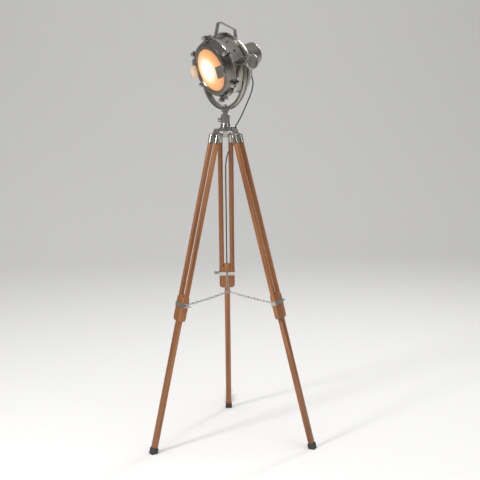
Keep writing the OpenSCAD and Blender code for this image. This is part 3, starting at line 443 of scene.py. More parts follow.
@dataclass(frozen=True)
class Lit(Finish):
    """Surface painted with light: it glows, hottest near the beam's axis and cooler towards the rim.

    Attributes:
        reach: Distance from the axis at which the rim's colour is reached.
        spot: Share of the reach that is at its hottest.
        shift: How far the painted hot spot is moved along the frame's Y.
        clear: Share of light that passes through.
        ribs: Number of stipples in a metre, or 0 for a smooth surface.
        one_sided: Whether only faces that look along the beam glow.
    """

    hot: Colour = (1.0, 0.93, 0.78)
    warm: Colour = (1.0, 0.62, 0.32)
    rim: Colour = (0.72, 0.32, 0.12)
    base: Colour = (0.85, 0.6, 0.38)
    reach: float = 0.092
    power: float = 1.0
    spot: float = 0.4
    shift: float = 0.0
    clear: float = 0.0
    ribs: float = 0.0
    rib_depth: float = 0.8 * MM
    smudges: float = 20.0
    one_sided: bool = False

    def build(self, effects: Effects) -> bpy.types.Material:
        """Build the glowing material.

        Args:
            effects: The shared shader groups.

        Returns:
            The material.
        """
        material, g, shader, vector = self.start()
        parts = g.add("SeparateXYZ")
        g.link(vector, parts.inputs[0])
        x, y = parts.outputs["X"], g.math("SUBTRACT", parts.outputs["Y"], self.shift)
        radius = g.math("SQRT", g.math("ADD", g.math("MULTIPLY", x, x), g.math("MULTIPLY", y, y)))
        smudge = g.use(effects.handling, vector, Size=self.smudges).outputs["Smudge"]
        outwards = g.math("ADD", g.math("DIVIDE", radius, self.reach), g.math("MULTIPLY", smudge, 0.04))
        warm_at = self.spot * 0.5 + 0.42
        glow = g.ramp(outwards, [
            (0.0, self.hot), (self.spot, self.hot), (warm_at, self.warm), (1.0, self.rim)])
        g.link(glow, shader.inputs["Emission Color"])
        if self.one_sided:
            ahead = g.add("VectorMath", operation="DOT_PRODUCT")
            g.link(g.tree.nodes["Texture Coordinate"].outputs["Normal"], ahead.inputs[0])
            ahead.inputs[1].default_value = self.place.to_3x3().col[2]
            strength = g.span(ahead.outputs["Value"], 0.0, 0.08, 0.0, self.power)
            g.link(strength, shader.inputs["Emission Strength"])
        else:
            shader.inputs["Emission Strength"].default_value = self.power
        shader.inputs["Base Color"].default_value = (*self.base, 1.0)
        shader.inputs["Transmission Weight"].default_value = self.clear
        g.link(g.span(smudge, 0.0, 1.0, 0.18, 0.3), shader.inputs["Roughness"])
        if self.ribs:
            stipple = g.add("TexVoronoi", feature="SMOOTH_F1", in_Scale=self.ribs, in_Randomness=0.6)
            g.link(vector, stipple.inputs["Vector"])
            self.bump(g, shader, stipple.outputs["Distance"], self.rib_depth, 0.5)
        return material


# ---------------------------------------------------------------- bench


class Bench:
    """Modelling steps that the sub-assemblies share."""

    @staticmethod
    def clear() -> None:
        """Deselect everything."""
        if bpy.context.object and bpy.context.object.mode != "OBJECT":
            bpy.ops.object.mode_set(mode="OBJECT")
        bpy.ops.object.select_all(action="DESELECT")

    @classmethod
    def only(cls, piece: bpy.types.Object) -> None:
        """Select one piece and make it active.

        Args:
            piece: The object.
        """
        cls.clear()
        piece.select_set(True)
        bpy.context.view_layer.objects.active = piece

    @staticmethod
    def smooth(angle: float) -> None:
        """Shade what is selected smooth, apart from edges sharper than an angle in degrees."""
        bpy.ops.object.shade_smooth_by_angle(angle=math.radians(angle))

    @classmethod
    def settle(cls, piece: bpy.types.Object, name: str, place: Matrix) -> bpy.types.Object:
        """Move the mesh to its place, with the object itself left at the origin.

        Args:
            piece: The object.
            name: Its final name.
            place: Its place in the object's frame.

        Returns:
            The same object.
        """
        cls.clear()
        piece.data.transform(place @ piece.matrix_world)
        piece.matrix_world = Matrix.Identity(4)
        piece.name = name
        piece.data.name = name
        return piece

    @classmethod
    def join(cls, pieces: Sequence[bpy.types.Object]) -> bpy.types.Object:
        """Join pieces into the first of them.

        Args:
            pieces: The objects.

        Returns:
            The first object, with the meshes of all.
        """
        cls.only(pieces[0])
        for piece in pieces:
            piece.select_set(True)
        bpy.ops.object.join()
        return bpy.context.object

    @classmethod
    def ease(cls, piece: bpy.types.Object, width: float, segments: int, angle: float = 30.0) -> None:
        """Round a piece's edges and shade it smooth.

        Args:
            piece: The object.
            width: Width of the rounding.
            segments: Number of faces over each edge.
            angle: Smallest angle of an edge that is rounded, in degrees.
        """
        cls.only(piece)
        bevel = piece.modifiers.new("eased", "BEVEL")
        bevel.width = width
        bevel.segments = segments
        bevel.limit_method = "ANGLE"
        bevel.angle_limit = math.radians(angle)
        bpy.ops.object.modifier_apply(modifier=bevel.name)
        cls.smooth(40.0)

    @classmethod
    def pick_edges(cls, piece: bpy.types.Object, test: Callable[[Vector, Vector], bool]) -> None:
        """Open a piece in edit mode with only some of its edges selected.

        Args:
            piece: The active object.
            test: Says from an edge's two ends whether it is picked.
        """
        cls._open("EDGE")
        vertices = piece.data.vertices
        for edge in piece.data.edges:
            edge.select = test(*(vertices[v].co for v in edge.vertices))
        bpy.ops.object.mode_set(mode="EDIT")

    @classmethod
    def pick_faces(cls, piece: bpy.types.Object, test: Callable[[Vector], bool]) -> None:
        """Open a piece in edit mode with only some of its faces selected.

        Args:
            piece: The active object.
            test: Says from a face's normal whether it is picked.
        """
        cls._open("FACE")
        for face in piece.data.polygons:
            face.select = test(face.normal)
        bpy.ops.object.mode_set(mode="EDIT")

    @staticmethod
    def _open(kind: str) -> None:
        """Deselect the active mesh and set whether its edges or its faces are picked.

        Args:
            kind: EDGE or FACE.
        """
        bpy.ops.object.mode_set(mode="EDIT")
        bpy.ops.mesh.select_mode(type=kind)
        bpy.ops.mesh.select_all(action="DESELECT")
        bpy.ops.object.mode_set(mode="OBJECT")

    @staticmethod
    def close() -> None:
        """Go back to object mode, with vertices as the next thing to be picked."""
        bpy.ops.mesh.select_mode(type="VERT")
        bpy.ops.object.mode_set(mode="OBJECT")

    @classmethod
    def box(cls, size: Point, middle: Point = (0.0, 0.0, 0.0),
            cuts: Callable[[bpy.types.Object], None] | None = None) -> bpy.types.Object:
        """Add a box of a given size.

        Args:
            size: Length along X, Y and Z.
            middle: Its middle.
            cuts: Edit steps that shape it, run on the active object.

        Returns:
            The object.
        """
        cls.clear()
        bpy.ops.mesh.primitive_cube_add(size=1.0, location=middle, scale=size)
        piece = bpy.context.object
        bpy.ops.object.transform_apply(location=True, rotation=False, scale=True)
        if cuts:
            cuts(piece)
        return piece

    @classmethod
    def turned(cls, profile: Profile, sides: int, angle: float = 35.0) -> bpy.types.Object:
        """Turn a solid about Z by drawing a disc out along its profile.

        Args:
            profile: Radius and height of each ring, from one end to the other.
            sides: Number of sides.
            angle: Edges sharper than this stay sharp in the shading, in degrees.

        Returns:
            The object.
        """
        cls.clear()
        radius, height = profile[0]
        bpy.ops.mesh.primitive_circle_add(
            vertices=sides, radius=radius, fill_type="NGON", location=(0.0, 0.0, height))
        piece = bpy.context.object
        bpy.ops.object.transform_apply(location=True, rotation=False, scale=False)
        bpy.ops.object.mode_set(mode="EDIT")
        bpy.ops.mesh.select_all(action="SELECT")
        for (r0, z0), (r1, z1) in zip(profile, profile[1:]):
            bpy.ops.mesh.extrude_region_move(TRANSFORM_OT_translate={"value": (0.0, 0.0, z1 - z0)})
            bpy.ops.transform.resize(value=(r1 / r0, r1 / r0, 1.0), center_override=(0.0, 0.0, z1))
        bpy.ops.mesh.select_all(action="SELECT")
        bpy.ops.mesh.normals_make_consistent(inside=False)
        bpy.ops.object.mode_set(mode="OBJECT")
        cls.only(piece)
        cls.smooth(angle)
        return piece

    @classmethod
    def tube(cls, name: str, points: Sequence[Vector], radius: float, steps: int) -> bpy.types.Object:
        """Sweep a round tube along points.

        Args:
            name: Name of the piece.
            points: Points of its middle line.
            radius: Radius of the tube.
            steps: Blender's bevel resolution; each step gives the tube more sides.

        Returns:
            The mesh object.
        """
        cls.clear()
        curve = bpy.data.curves.new(name, "CURVE")
        curve.dimensions = "3D"
        spline = curve.splines.new("POLY")
        spline.points.add(len(points) - 1)
        for target, source in zip(spline.points, points):
            target.co = (*source, 1.0)
        curve.bevel_depth = radius
        curve.bevel_resolution = steps
        curve.use_fill_caps = True
        piece = bpy.data.objects.new(name, curve)
        bpy.context.scene.collection.objects.link(piece)
        cls.only(piece)
        bpy.ops.object.convert(target="MESH")
        cls.smooth(50.0)
        return bpy.context.object


def metres(profile: Profile, low: float = 0.0) -> list[tuple[float, float]]:
    """Turn a profile in millimetres into metres and move it along by a height in metres."""
    return [(r * MM, low + z * MM) for r, z in profile]


def dress(piece: bpy.types.Object, material: bpy.types.Material) -> None:
    """Give a piece one material.

    Args:
        piece: The object.
        material: Its material.
    """
    piece.data.materials.clear()
    piece.data.materials.append(material)
    log.info("%s: %s", piece.name, material.name)


def fit(piece: bpy.types.Object, name: str, place: Matrix, material: bpy.types.Material, node: str) -> bpy.types.Object:
    """Finish a new piece that is shown in the place of a node.

    Args:
        piece: The object.
        name: Its name.
        place: Its place in the object's frame.
        material: Its material.
        node: The node that it replaces.

    Returns:
        The same object.
    """
    Bench.settle(piece, name, place)
    dress(piece, material)
    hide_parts(node)
    return piece


# ---------------------------------------------------------------- frames


class Side(Enum):
    """The three legs, with the direction that each stands in."""

    LEFT = 210.0
    RIGHT = 330.0
    REAR = 90.0

    @property
    def word(self) -> str:
        """Name that the nodes and bodies of this leg start with."""
        return self.name.lower()


def joint(name: str) -> dict[str, Any]:
    """Return the joint of that name."""
    return next(j for j in frame["joints"] if j["name"] == name)


@dataclass
class Stand:
    """Sizes of the tripod, in metres, and the frames of its legs."""

    rod_diameter: float = 21 * MM
    lower_width: float = 24 * MM
    lower_depth: float = 20 * MM
    slide_gap: float = 0.3 * MM
    front_drop: float = 702 * MM
    rear_drop: float = 634 * MM
    cheek_above: float = 33 * MM
    cheek_below: float = 68 * MM
    cheek_round: float = 14 * MM
    lower_above: float = 43 * MM
    shift: Vector = field(init=False)

    def __post_init__(self) -> None:
        """Take the place of the stem's axis from the pan joint."""
        self.shift = Vector((0.0, joint("pan")["pos_m"][1], 0.0))

    def drop(self, side: Side) -> float:
        """Distance from a leg's hinge down to its clamp."""
        return self.rear_drop if side is Side.REAR else self.front_drop

    def leg_frame(self, side: Side) -> Matrix:
        """Frame of a leg.

        Args:
            side: Which leg.

        Returns:
            Matrix with its origin on the hinge pin, X outwards, Y along the pin and Z up the leg.
        """
        up = Vector(joint(f"{side.word}_leg_slide")["axis"]).normalized()
        along = Vector((-math.sin(math.radians(side.value)), math.cos(math.radians(side.value)), 0.0))
        place = Matrix((along.cross(up), along, up)).transposed().to_4x4()
        place.translation = Vector(joint(f"{side.word}_leg_fold")["pos_m"])
        return place


@dataclass
class Beam:
    """Place of the spotlight's beam: origin on the beam's axis under the tilt axis, Z along the beam."""

    pan: float = 213.5
    tilt: float = 17.0
    rise: float = 10 * MM

    def frame(self) -> Matrix:
        """Frame of the beam.

        Returns:
            Matrix with Z along the beam and X down.
        """
        yoke = Matrix.Rotation(math.radians(self.pan), 4, "Z")
        yoke.translation = Vector(joint("tilt")["pos_m"])
        head = yoke @ Matrix.Rotation(math.radians(self.tilt), 4, "Y")
        return head @ Matrix.Translation((0.0, 0.0, -self.rise)) @ Matrix.Rotation(math.radians(90.0), 4, "Y")


# ---------------------------------------------------------------- the lamp


@dataclass
class Palette:
    """Every finish of the lamp, built once."""

    stand: Stand
    beam: Beam
    effects: Effects = field(default_factory=Effects)
    made: dict[str, bpy.types.Material] = field(default_factory=dict)

    def build(self) -> None:
        """Build all materials."""
        beam = self.beam.frame()
        for finish in (
            *(Timber(f"honey_timber_{side.word}", self.stand.leg_frame(side)) for side in Side),
            Plate("polished_nickel"),
            # Softer polish; its darker tone is partly painted reflection, standing in for the dark room that the head
            # reflects.
            Plate("soft_nickel", bright=(0.45, 0.43, 0.395), aged=(0.31, 0.29, 0.255), rough=0.2,
                  spread=0.08),
            # The bezel's nickel is painted darker than the rest: a painted reflection of a dark room.
            Plate("dark_nickel", bright=(0.27, 0.255, 0.235), aged=(0.17, 0.155, 0.135), rough=0.17),
            Plate("chain_nickel", bright=(0.62, 0.6, 0.57), aged=(0.36, 0.33, 0.29), rough=0.26, spread=0.1),
            Plate("pin_brass", bright=(0.78, 0.62, 0.3), aged=(0.6, 0.46, 0.22), rough=0.2, spread=0.1),
            Moulded("black_rubber"),
            Moulded("black_cord", colour=(0.014, 0.014, 0.015), dusty=(0.035, 0.034, 0.032), rough=0.38,
                    grain=700.0),
            Moulded("black_fitting", colour=(0.018, 0.018, 0.019), rough=0.42, grain=2200.0),
            # Painted light: the lens glows as if the bulb shone through it, and its hot spot is painted off the axis.
            Lit("lens_glow", beam, hot=(1.0, 0.95, 0.84), warm=(0.74, 0.34, 0.125), rim=(0.36, 0.12, 0.036),
                base=(0.16, 0.11, 0.07), reach=0.12, power=1.3, spot=0.2, shift=-0.028, clear=0.12,
                ribs=330.0),
            Lit("glowing_bulb", beam, base=(1.0, 0.95, 0.85), reach=0.06, power=4.0),
            # Painted light: the reflector glows as if lit by the bulb, only on faces that look along the beam.
            Lit("warm_reflector", beam, one_sided=True),
        ):
            self.made[finish.name] = finish.build(self.effects)

    def __getitem__(self, name: str) -> bpy.types.Material:
        """Return the material of that name."""
        return self.made[name]

    def timber(self, side: Side) -> bpy.types.Material:
        """Return the timber of one leg."""
        return self.made[f"honey_timber_{side.word}"]


NODE_FINISHES: dict[str, tuple[str, ...]] = {
    "polished_nickel": (
        "leg_ferrules", "leg_clamp", "clamp_screw", "leg_hinge_pins", "stem_screw", "stem", "yoke_nut",
        "near_tilt_knob", "far_tilt_knob", "front_band", "swing_bolts", "thumb_nuts", "handle", "side_plates",
        "tilt_bolts", "head_screws", "chain_ring"),
    "soft_nickel": ("hub_plate", "stem_socket", "yoke", "drum", "rear_dome", "rear_can", "lamp_bracket"),
    # The bezel's nickel is painted dark, standing in for the dark room that it reflects.
    "dark_nickel": ("bezel_ring",),
    "chain_nickel": ("chain",),
    "black_rubber": ("shoe", "lens_gasket"),
    "black_fitting": ("cord_clip", "lamp_holder", "cable_gland", "plug", "hank_tie"),
    "black_cord": ("cord_head", "cord_yoke", "cord_leg", "cord_foot", "cord_hank"),
    "lens_glow": ("lens_glass",),
    "glowing_bulb": ("bulb",),
    # The reflector gets painted glow that stands in for the bulb's light on it.
    "warm_reflector": ("reflector",),
}


@dataclass
class Carried:
    """The nodes, most of which are shown in their own modelled shape."""

    palette: Palette

    def build(self) -> None:
        """Dress every node."""
        for name, piece in frame["nodes"].items():
            dress(piece, self._material(name))

    def _material(self, name: str) -> bpy.types.Material:
        """Find the material of a node.

        Args:
            name: The node's name.

        Returns:
            Its material.
        """
        side = next((s for s in Side if name.startswith(s.word + "_")), None)
        bare = name[len(side.word) + 1:] if side else name
        for finish, nodes in NODE_FINISHES.items():
            if name in nodes or (side and bare in nodes):
                return self.palette[finish]
        if side is None:
            raise KeyError(name)
        return self.palette.timber(side)


@dataclass
class Plug:
    """The plug at the lead's end, along X of the hank's frame; profiles are in millimetres."""

    palette: Palette
    relief_low: Profile = ((2.55, 0.2), (2.6, 1.0))
    relief_high: Profile = ((2.6, 21.4), (2.6, 24.0))
    relief_ribs: int = 6
    body_start: float = 22 * MM
    body_lift: float = 5 * MM
    body_size: Point = (34 * MM, 20 * MM, 15 * MM)
    grip_pitch: float = 3.2 * MM
    grip_cuts: int = 8
    grip_narrow: tuple[int, ...] = (2, 3, 5, 6)
    blade_size: Point = (17 * MM, 1.5 * MM, 6.3 * MM)
    blade_middle: float = 42.5 * MM
    blade_side: float = 6.35 * MM

    def build(self, place: Matrix, end: Point) -> list[bpy.types.Object]:
        """Build the ribbed relief, the body with its finger grooves and the two blades.

        Args:
            place: Frame of the hank.
            end: End of the cord in that frame.

        Returns:
            The three pieces.
        """
        low, lift = end[0] + self.body_start, end[2] + self.body_lift
        along = place @ Matrix.Translation(end) @ Matrix.Rotation(math.radians(90.0), 4, "Y")
        pieces = []
        for piece, name, where, finish in (
            (self._relief(), "plug_relief", along, "black_fitting"),
            (self._body(low, lift), "plug_body", place, "black_fitting"),
            (self._blades(low, lift), "plug_blades", place, "pin_brass"),
        ):
            pieces.append(fit(piece, name, where, self.palette[finish], "plug"))
            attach(piece, "rear_foot")
        return pieces

    def _relief(self) -> bpy.types.Object:
        """Turn the ribbed sleeve that the cord runs into.

        Returns:
            The piece, with its length along Z.
        """
        profile = list(self.relief_low)
        for k in range(self.relief_ribs):
            z = 3 + 3 * k
            profile += [(2.6, z), (2.6, z + 1.6), (2.1, z + 1.9), (2.1, z + 2.7)]
        return Bench.turned(metres([*profile, *self.relief_high]), 24)

    def _body(self, low: float, lift: float) -> bpy.types.Object:
        """Build the body, narrow where the cord comes in and where it is gripped.

        Args:
            low: Its end towards the cord.
            lift: Height of its middle.

        Returns:
            The piece.
        """

        def grip(piece: bpy.types.Object) -> None:
            """Cut the block into lengths and draw some of them in.

            Args:
                piece: The block.
            """
            bpy.ops.object.mode_set(mode="EDIT")
            for k in range(1, self.grip_cuts):
                bpy.ops.mesh.select_all(action="SELECT")
                bpy.ops.mesh.bisect(plane_co=(low + self.grip_pitch * k, 0.0, 0.0), plane_no=(1.0, 0.0, 0.0))
            bpy.ops.object.mode_set(mode="OBJECT")
            for vertex in piece.data.vertices:
                k = round((vertex.co.x - low) / self.grip_pitch)
                if k in self.grip_narrow:
                    vertex.co.y *= 0.9
                elif k == 0:
                    vertex.co.y *= 0.55
                    vertex.co.z = lift + (vertex.co.z - lift) * 0.7

        body = Bench.box(self.body_size, (low + self.body_size[0] / 2, 0.0, lift), grip)
        Bench.ease(body, 1.6 * MM, 3, 25.0)
        return body

    def _blades(self, low: float, lift: float) -> bpy.types.Object:
        """Build both blades as one piece.

        Args:
            low: The body's end towards the cord.
            lift: Height of their middle.

        Returns:
            The piece.
        """
        middles = [(low + self.blade_middle, hand * self.blade_side, lift) for hand in (-1, 1)]
        blades = Bench.join([Bench.box(self.blade_size, middle) for middle in middles])
        Bench.ease(blades, 0.45 * MM, 2)
        return blades


@dataclass
class Cord:
    """The mains lead, from the head to its plug behind the rear foot; its routes are in millimetres."""

    stand: Stand
    palette: Palette
    diameter: float = 5 * MM
    loops: int = 3
    loop_steps: int = 14
    step: float = 5.6 * MM
    fold: float = 15 * MM
    run: float = 37.5 * MM
    waist: float = 3.1 * MM
    tail: tuple[float, ...] = (8 * MM, 16 * MM, 26 * MM, 36 * MM)
    middle: Point = (3.4 * MM, 500 * MM, 17.6 * MM)
    turn: float = 88.5
    strap_width: float = 6 * MM
    strap_wall: float = 1.2 * MM
    strap_round: float = 3.5 * MM
    head_route: tuple[Point, ...] = (
        (115.1, 76.2, 1528.6), (118.8, 78.6, 1514), (120, 80, 1496), (115, 78, 1470), (104, 73, 1441),
        (92, 67, 1415))
    yoke_route: tuple[Point, ...] = (
        (92, 67, 1415), (78, 58, 1386), (64, 45, 1359.1), (51, 33, 1338.6), (43.5, 23.3, 1328.8),
        (42, 21, 1322.9), (42, 21, 1317))
    hub_route: tuple[Point, ...] = (
        (42, 21, 1317), (42, 21, 1309), (44, 27, 1297), (46, 42, 1280), (43, 64, 1262), (30, 82, 1240),
        (13, 93, 1215))
    leg_line: tuple[Point, ...] = (
        (15.6, -2, -125), (15.4, 0, -180), (15.4, 0, -400), (15.4, 0, -560), (15.4, 0, -650))
    foot_line: tuple[Point, ...] = (
        (15.4, 0, -650), (15.4, 0, -760), (15.4, 0, -900), (15.4, 0, -1099.1), (15.4, 0, -1239.1),
        (15.4, 0, -1286.1))
    floor_route: tuple[Point, ...] = (
        (0.5, 391.4, 20.7), (2.5, 400, 7.9), (5.5, 413, 2.8), (8.6, 428, 2.6), (10.2, 439.8, 2.6),
        (10.5, 450.1, 2.6))
    floor_heading: Point = (0.3, 11.0, 0.0)

    def build(self) -> None:
        """Build every stretch, the hank, its tie and the plug."""
        head = [self._free(p) for p in self.head_route]
        yoke = [self._free(p) for p in self.yoke_route]
        leg = [self._free(p) for p in self.hub_route] + [self._on_leg(p) for p in self.leg_line]
        foot = [self._on_leg(p) for p in self.foot_line] + [self._free(p) for p in self.floor_route]
        before = 2 * head[0] - head[1]
        after = foot[-1] + Vector(self.floor_heading) * MM
        for name, points, steps, node, bodies in (
            ("lead_from_head", [before, *head, yoke[1]], 6, "cord_head", ("head", "yoke")),
            ("lead_at_yoke", [head[-2], *yoke, leg[1]], 5, "cord_yoke", ("yoke", "stand")),
            ("lead_on_leg", [yoke[-2], *leg, foot[1]], 3, "cord_leg", ("stand", "rear_upper_leg")),
            ("lead_at_foot", [leg[-2], *foot, after], 3, "cord_foot", ("rear_upper_leg", "rear_foot")),
        ):
            self._stretch(name, self.curve(points, steps), node)
        self._hank()

    def _free(self, p: Point) -> Vector:
        """Turn millimetres from the stem axis into a point of the object's frame."""
        return Vector(p) * MM + self.stand.shift

    def _on_leg(self, p: Point) -> Vector:
        """Turn millimetres in the rear leg's frame into a point of the object's frame."""
        return self.stand.leg_frame(Side.REAR) @ (Vector(p) * MM)

    @staticmethod
    def curve(points: Sequence[Vector], steps: int) -> list[Vector]:
        """Draw a smooth curve from the second point to the last but one.

        Args:
            points: The points, with a neighbour before the first and after the last.
            steps: Number of steps between two of them.

        Returns:
            Points along the curve.
        """
        line: list[Vector] = []
        for a, b, c, d in zip(points, points[1:], points[2:], points[3:]):
            for j in range(steps):
                t = j / steps
                line.append(0.5 * ((2 * b) + (c - a) * t + (2 * a - 5 * b + 4 * c - d) * t * t
                                   + (3 * b - a - 3 * c + d) * t ** 3))
        return [*line, points[-2]]

    @staticmethod
    def length(line: Sequence[Vector]) -> float:
        """Return the length of a line of points."""
        return sum((b - a).length for a, b in zip(line, line[1:]))

    def _stretch(self, name: str, line: Sequence[Vector], node: str) -> None:
        """Build one stretch of the lead.

        Args:
            name: Name of the piece.
            line: Points along it.
            node: The node that it stands for.
        """
        piece = self._swept(name, line, node, 4)
        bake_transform(piece)
        log.info("%s: %.3f m", name, self.length(line))

    def _swept(self, name: str, line: Sequence[Vector], node: str, steps: int) -> bpy.types.Object:
        """Sweep the cord along a line.

        Args:
            name: Name of the piece.
            line: Points along it.
            node: The node that it stands for.
            steps: Blender's bevel resolution.

        Returns:
            The piece.
        """
        tube = Bench.tube(name, line, self.diameter / 2, steps)
        return fit(tube, name, Matrix.Identity(4), self.palette["black_cord"], node)

    def _loop(self, share: float) -> tuple[float, float, float]:
        """Find a point of one loop of the hank.

        Args:
            share: Place along the loop, from 0 to 4: run out, fold, run back, fold.

        Returns:
            Place along the hank, height, and how far the sideways step has gone.
        """
        part, t = int(share), share - int(share)
        if part == 0:
            x = self.run * (2 * t - 1)
            return x, -self._drawn(x), 0.0
        if part == 1:
            a = math.radians(-90 + 180 * t)
            return self.run + self.fold * math.cos(a), self.fold * math.sin(a), 0.0
        if part == 2:
            x = self.run * (1 - 2 * t)
            return x, self._drawn(x), 0.0
        a = math.radians(90 + 180 * t)
        return -self.run + self.fold * math.cos(a), self.fold * math.sin(a), min(1.0, t * 1.5)

    def _drawn(self, x: float) -> float:
        """Half height of the hank where its runs are drawn in to the waist."""
        return self.waist + (self.fold - self.waist) * (1 - math.cos(math.pi * abs(x) / self.run)) / 2

    def _hank(self) -> None:
        """Build the hank, with its plug and its tie."""
        place = Matrix.Rotation(math.radians(self.turn), 4, "Z")
        place.translation = Vector(self.middle) + self.stand.shift
        side = self.loops / 2 * self.step
        line = [Vector((-self.run - x * MM, -side, -self.fold)) for x in (12, 6)]
        for i in range((self.loops * 4 + 1) * self.loop_steps + 1):
            loop, within = divmod(i, 4 * self.loop_steps)
            x, z, moved = self._loop(within / self.loop_steps)
            line.append(Vector((x, (loop + moved - self.loops / 2) * self.step, z)))
        line += [Vector((self.run + x, side, -self.fold)) for x in self.tail]
        path = [place @ p for p in line]
        hank = self._swept("lead_hank", path, "cord_hank", 3)
        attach(hank, "rear_foot")
        plug = Plug(self.palette).build(place, (self.run + self.tail[-1], side, -self.fold))
        self._tie(place)
        log.info("lead_hank: %.3f m", self.length(path))

    def _tie(self, place: Matrix) -> bpy.types.Object:
        """Build the strap round the hank's waist.

        Args:
            place: Frame of the hank.

        Returns:
            The piece.
        """
        wide = self.loops * self.step + self.diameter + 1 * MM + 2 * self.strap_wall
        high = 2 * self.waist + self.diameter + 2.2 * MM + 2 * self.strap_wall
        strap = Bench.box((self.strap_width, wide, high), cuts=self._hollow)
        Bench.ease(strap, 0.35 * MM, 2)
        fit(strap, "hank_strap", place, self.palette["black_fitting"], "hank_tie")
        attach(strap, "rear_foot")
        return strap

    def _hollow(self, piece: bpy.types.Object) -> None:
        """Round a block along X and cut it through, with the strap's wall left.

        Args:
            piece: The block.
        """
        Bench.pick_edges(piece, lambda a, b: abs(a.x - b.x) > 1 * MM)
        bpy.ops.mesh.bevel(offset=self.strap_round, segments=8, affect="EDGES")
        bpy.ops.object.mode_set(mode="OBJECT")
        Bench.pick_faces(piece, lambda normal: abs(normal.x) > 0.9)
        bpy.ops.mesh.inset(thickness=self.strap_wall)
        bpy.ops.mesh.bridge_edge_loops()
        Bench.close()


@dataclass
class Spotlight:
    """The stepped lens, the bulb and the gland of the head, in the beam's frame."""

    beam: Beam
    palette: Palette
    lens_radius: float = 91 * MM
    lens_back: float = 68 * MM
    lens_front: float = 71 * MM
    lens_border: float = 4 * MM
    lens_step: float = 7 * MM
    bulb_radius: float = 28 * MM
    bulb_middle: float = 31 * MM
    bulb_neck: float = 44 * MM
    bulb_threads: int = 5
    gland_at: float = -115 * MM
    gland_seat: float = 37.5 * MM
    gland_ribs: int = 7
    can_radius: float = 48 * MM

    def build(self) -> None:
        """Build the three pieces."""
        beam = self.beam.frame()
        downwards = Matrix.Rotation(math.radians(90.0), 4, "Y")
        under = beam @ Matrix.Translation((0.0, 0.0, self.gland_at)) @ downwards
        for piece, name, place, finish, node, slot in (
            (self._lens(), "stepped_lens", beam, "lens_glow", "lens_glass", "lens_glass"),
            (self._bulb(), "screw_bulb", beam, "glowing_bulb", "bulb", "bulb_glass"),
            (self._gland(), "ribbed_gland", under, "black_fitting", "cable_gland", "black_plastic"),
        ):
            fit(piece, name, place, self.palette[finish], node)
            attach(piece, "head")

    def _lens(self) -> bpy.types.Object:
        """Turn the lens with its stepped front.

        Returns:
            The piece.
        """
        r, back, front = self.lens_radius, self.lens_back, self.lens_front
        step = r - self.lens_border
        profile = [(r - 0.8 * MM, back), (r, back + 0.6 * MM), (r, front - 0.6 * MM), (r - 0.8 * MM, front),
                   (step, front)]
        while step > 9 * MM:
            profile += [(step - 0.7 * MM, front - 1.1 * MM), (step - 3.5 * MM, front - 0.75 * MM),
                        (step - self.lens_step, front)]
            step -= self.lens_step
        return Bench.turned(profile, 96, 20.0)

    def _bulb(self) -> bpy.types.Object:
        """Turn the bulb with its screw cap.

        Returns:
            The piece.
        """
        profile = [(9.0, 0.0), (11.6, 1.6)]
        for k in range(self.bulb_threads):
            profile += [(12.9, 3.4 + 3.4 * k), (11.8, 5.1 + 3.4 * k)]
        profile += [(12.6, 21.0), (13.0, 38.0)]
        radius, middle = self.bulb_radius / MM, (self.bulb_radius + self.bulb_neck) / MM
        for a in (math.radians(degrees) for degrees in range(-54, 88, 8)):
            profile.append((radius * math.cos(a), middle + radius * math.sin(a)))
        return Bench.turned(metres(profile, self.bulb_middle - self.bulb_radius - self.bulb_neck), 48)

    def _gland(self) -> bpy.types.Object:
        """Turn the gland with its ribbed strain relief, measured from the can's skin.

        Returns:
            The piece.
        """
        seat = (self.gland_seat - self.can_radius) / MM
        profile = [(5.4, seat), (6.0, seat + 0.6), (6.0, 3.0), (8.3, 3.05), (9.0, 3.8), (9.0, 8.2),
                   (8.2, 9.2), (6.4, 10.4)]
        for k in range(self.gland_ribs):
            z, wide = 12 + 3.6 * k, 6 - 2.4 * k / self.gland_ribs
            profile += [(wide, z), (wide - 0.15, z + 2), (wide - 0.9, z + 2.4), (wide - 1, z + 3.2)]
        profile += [(3.3, 37.4), (2.9, 38.0)]
        return Bench.turned(metres(profile, self.can_radius), 40)


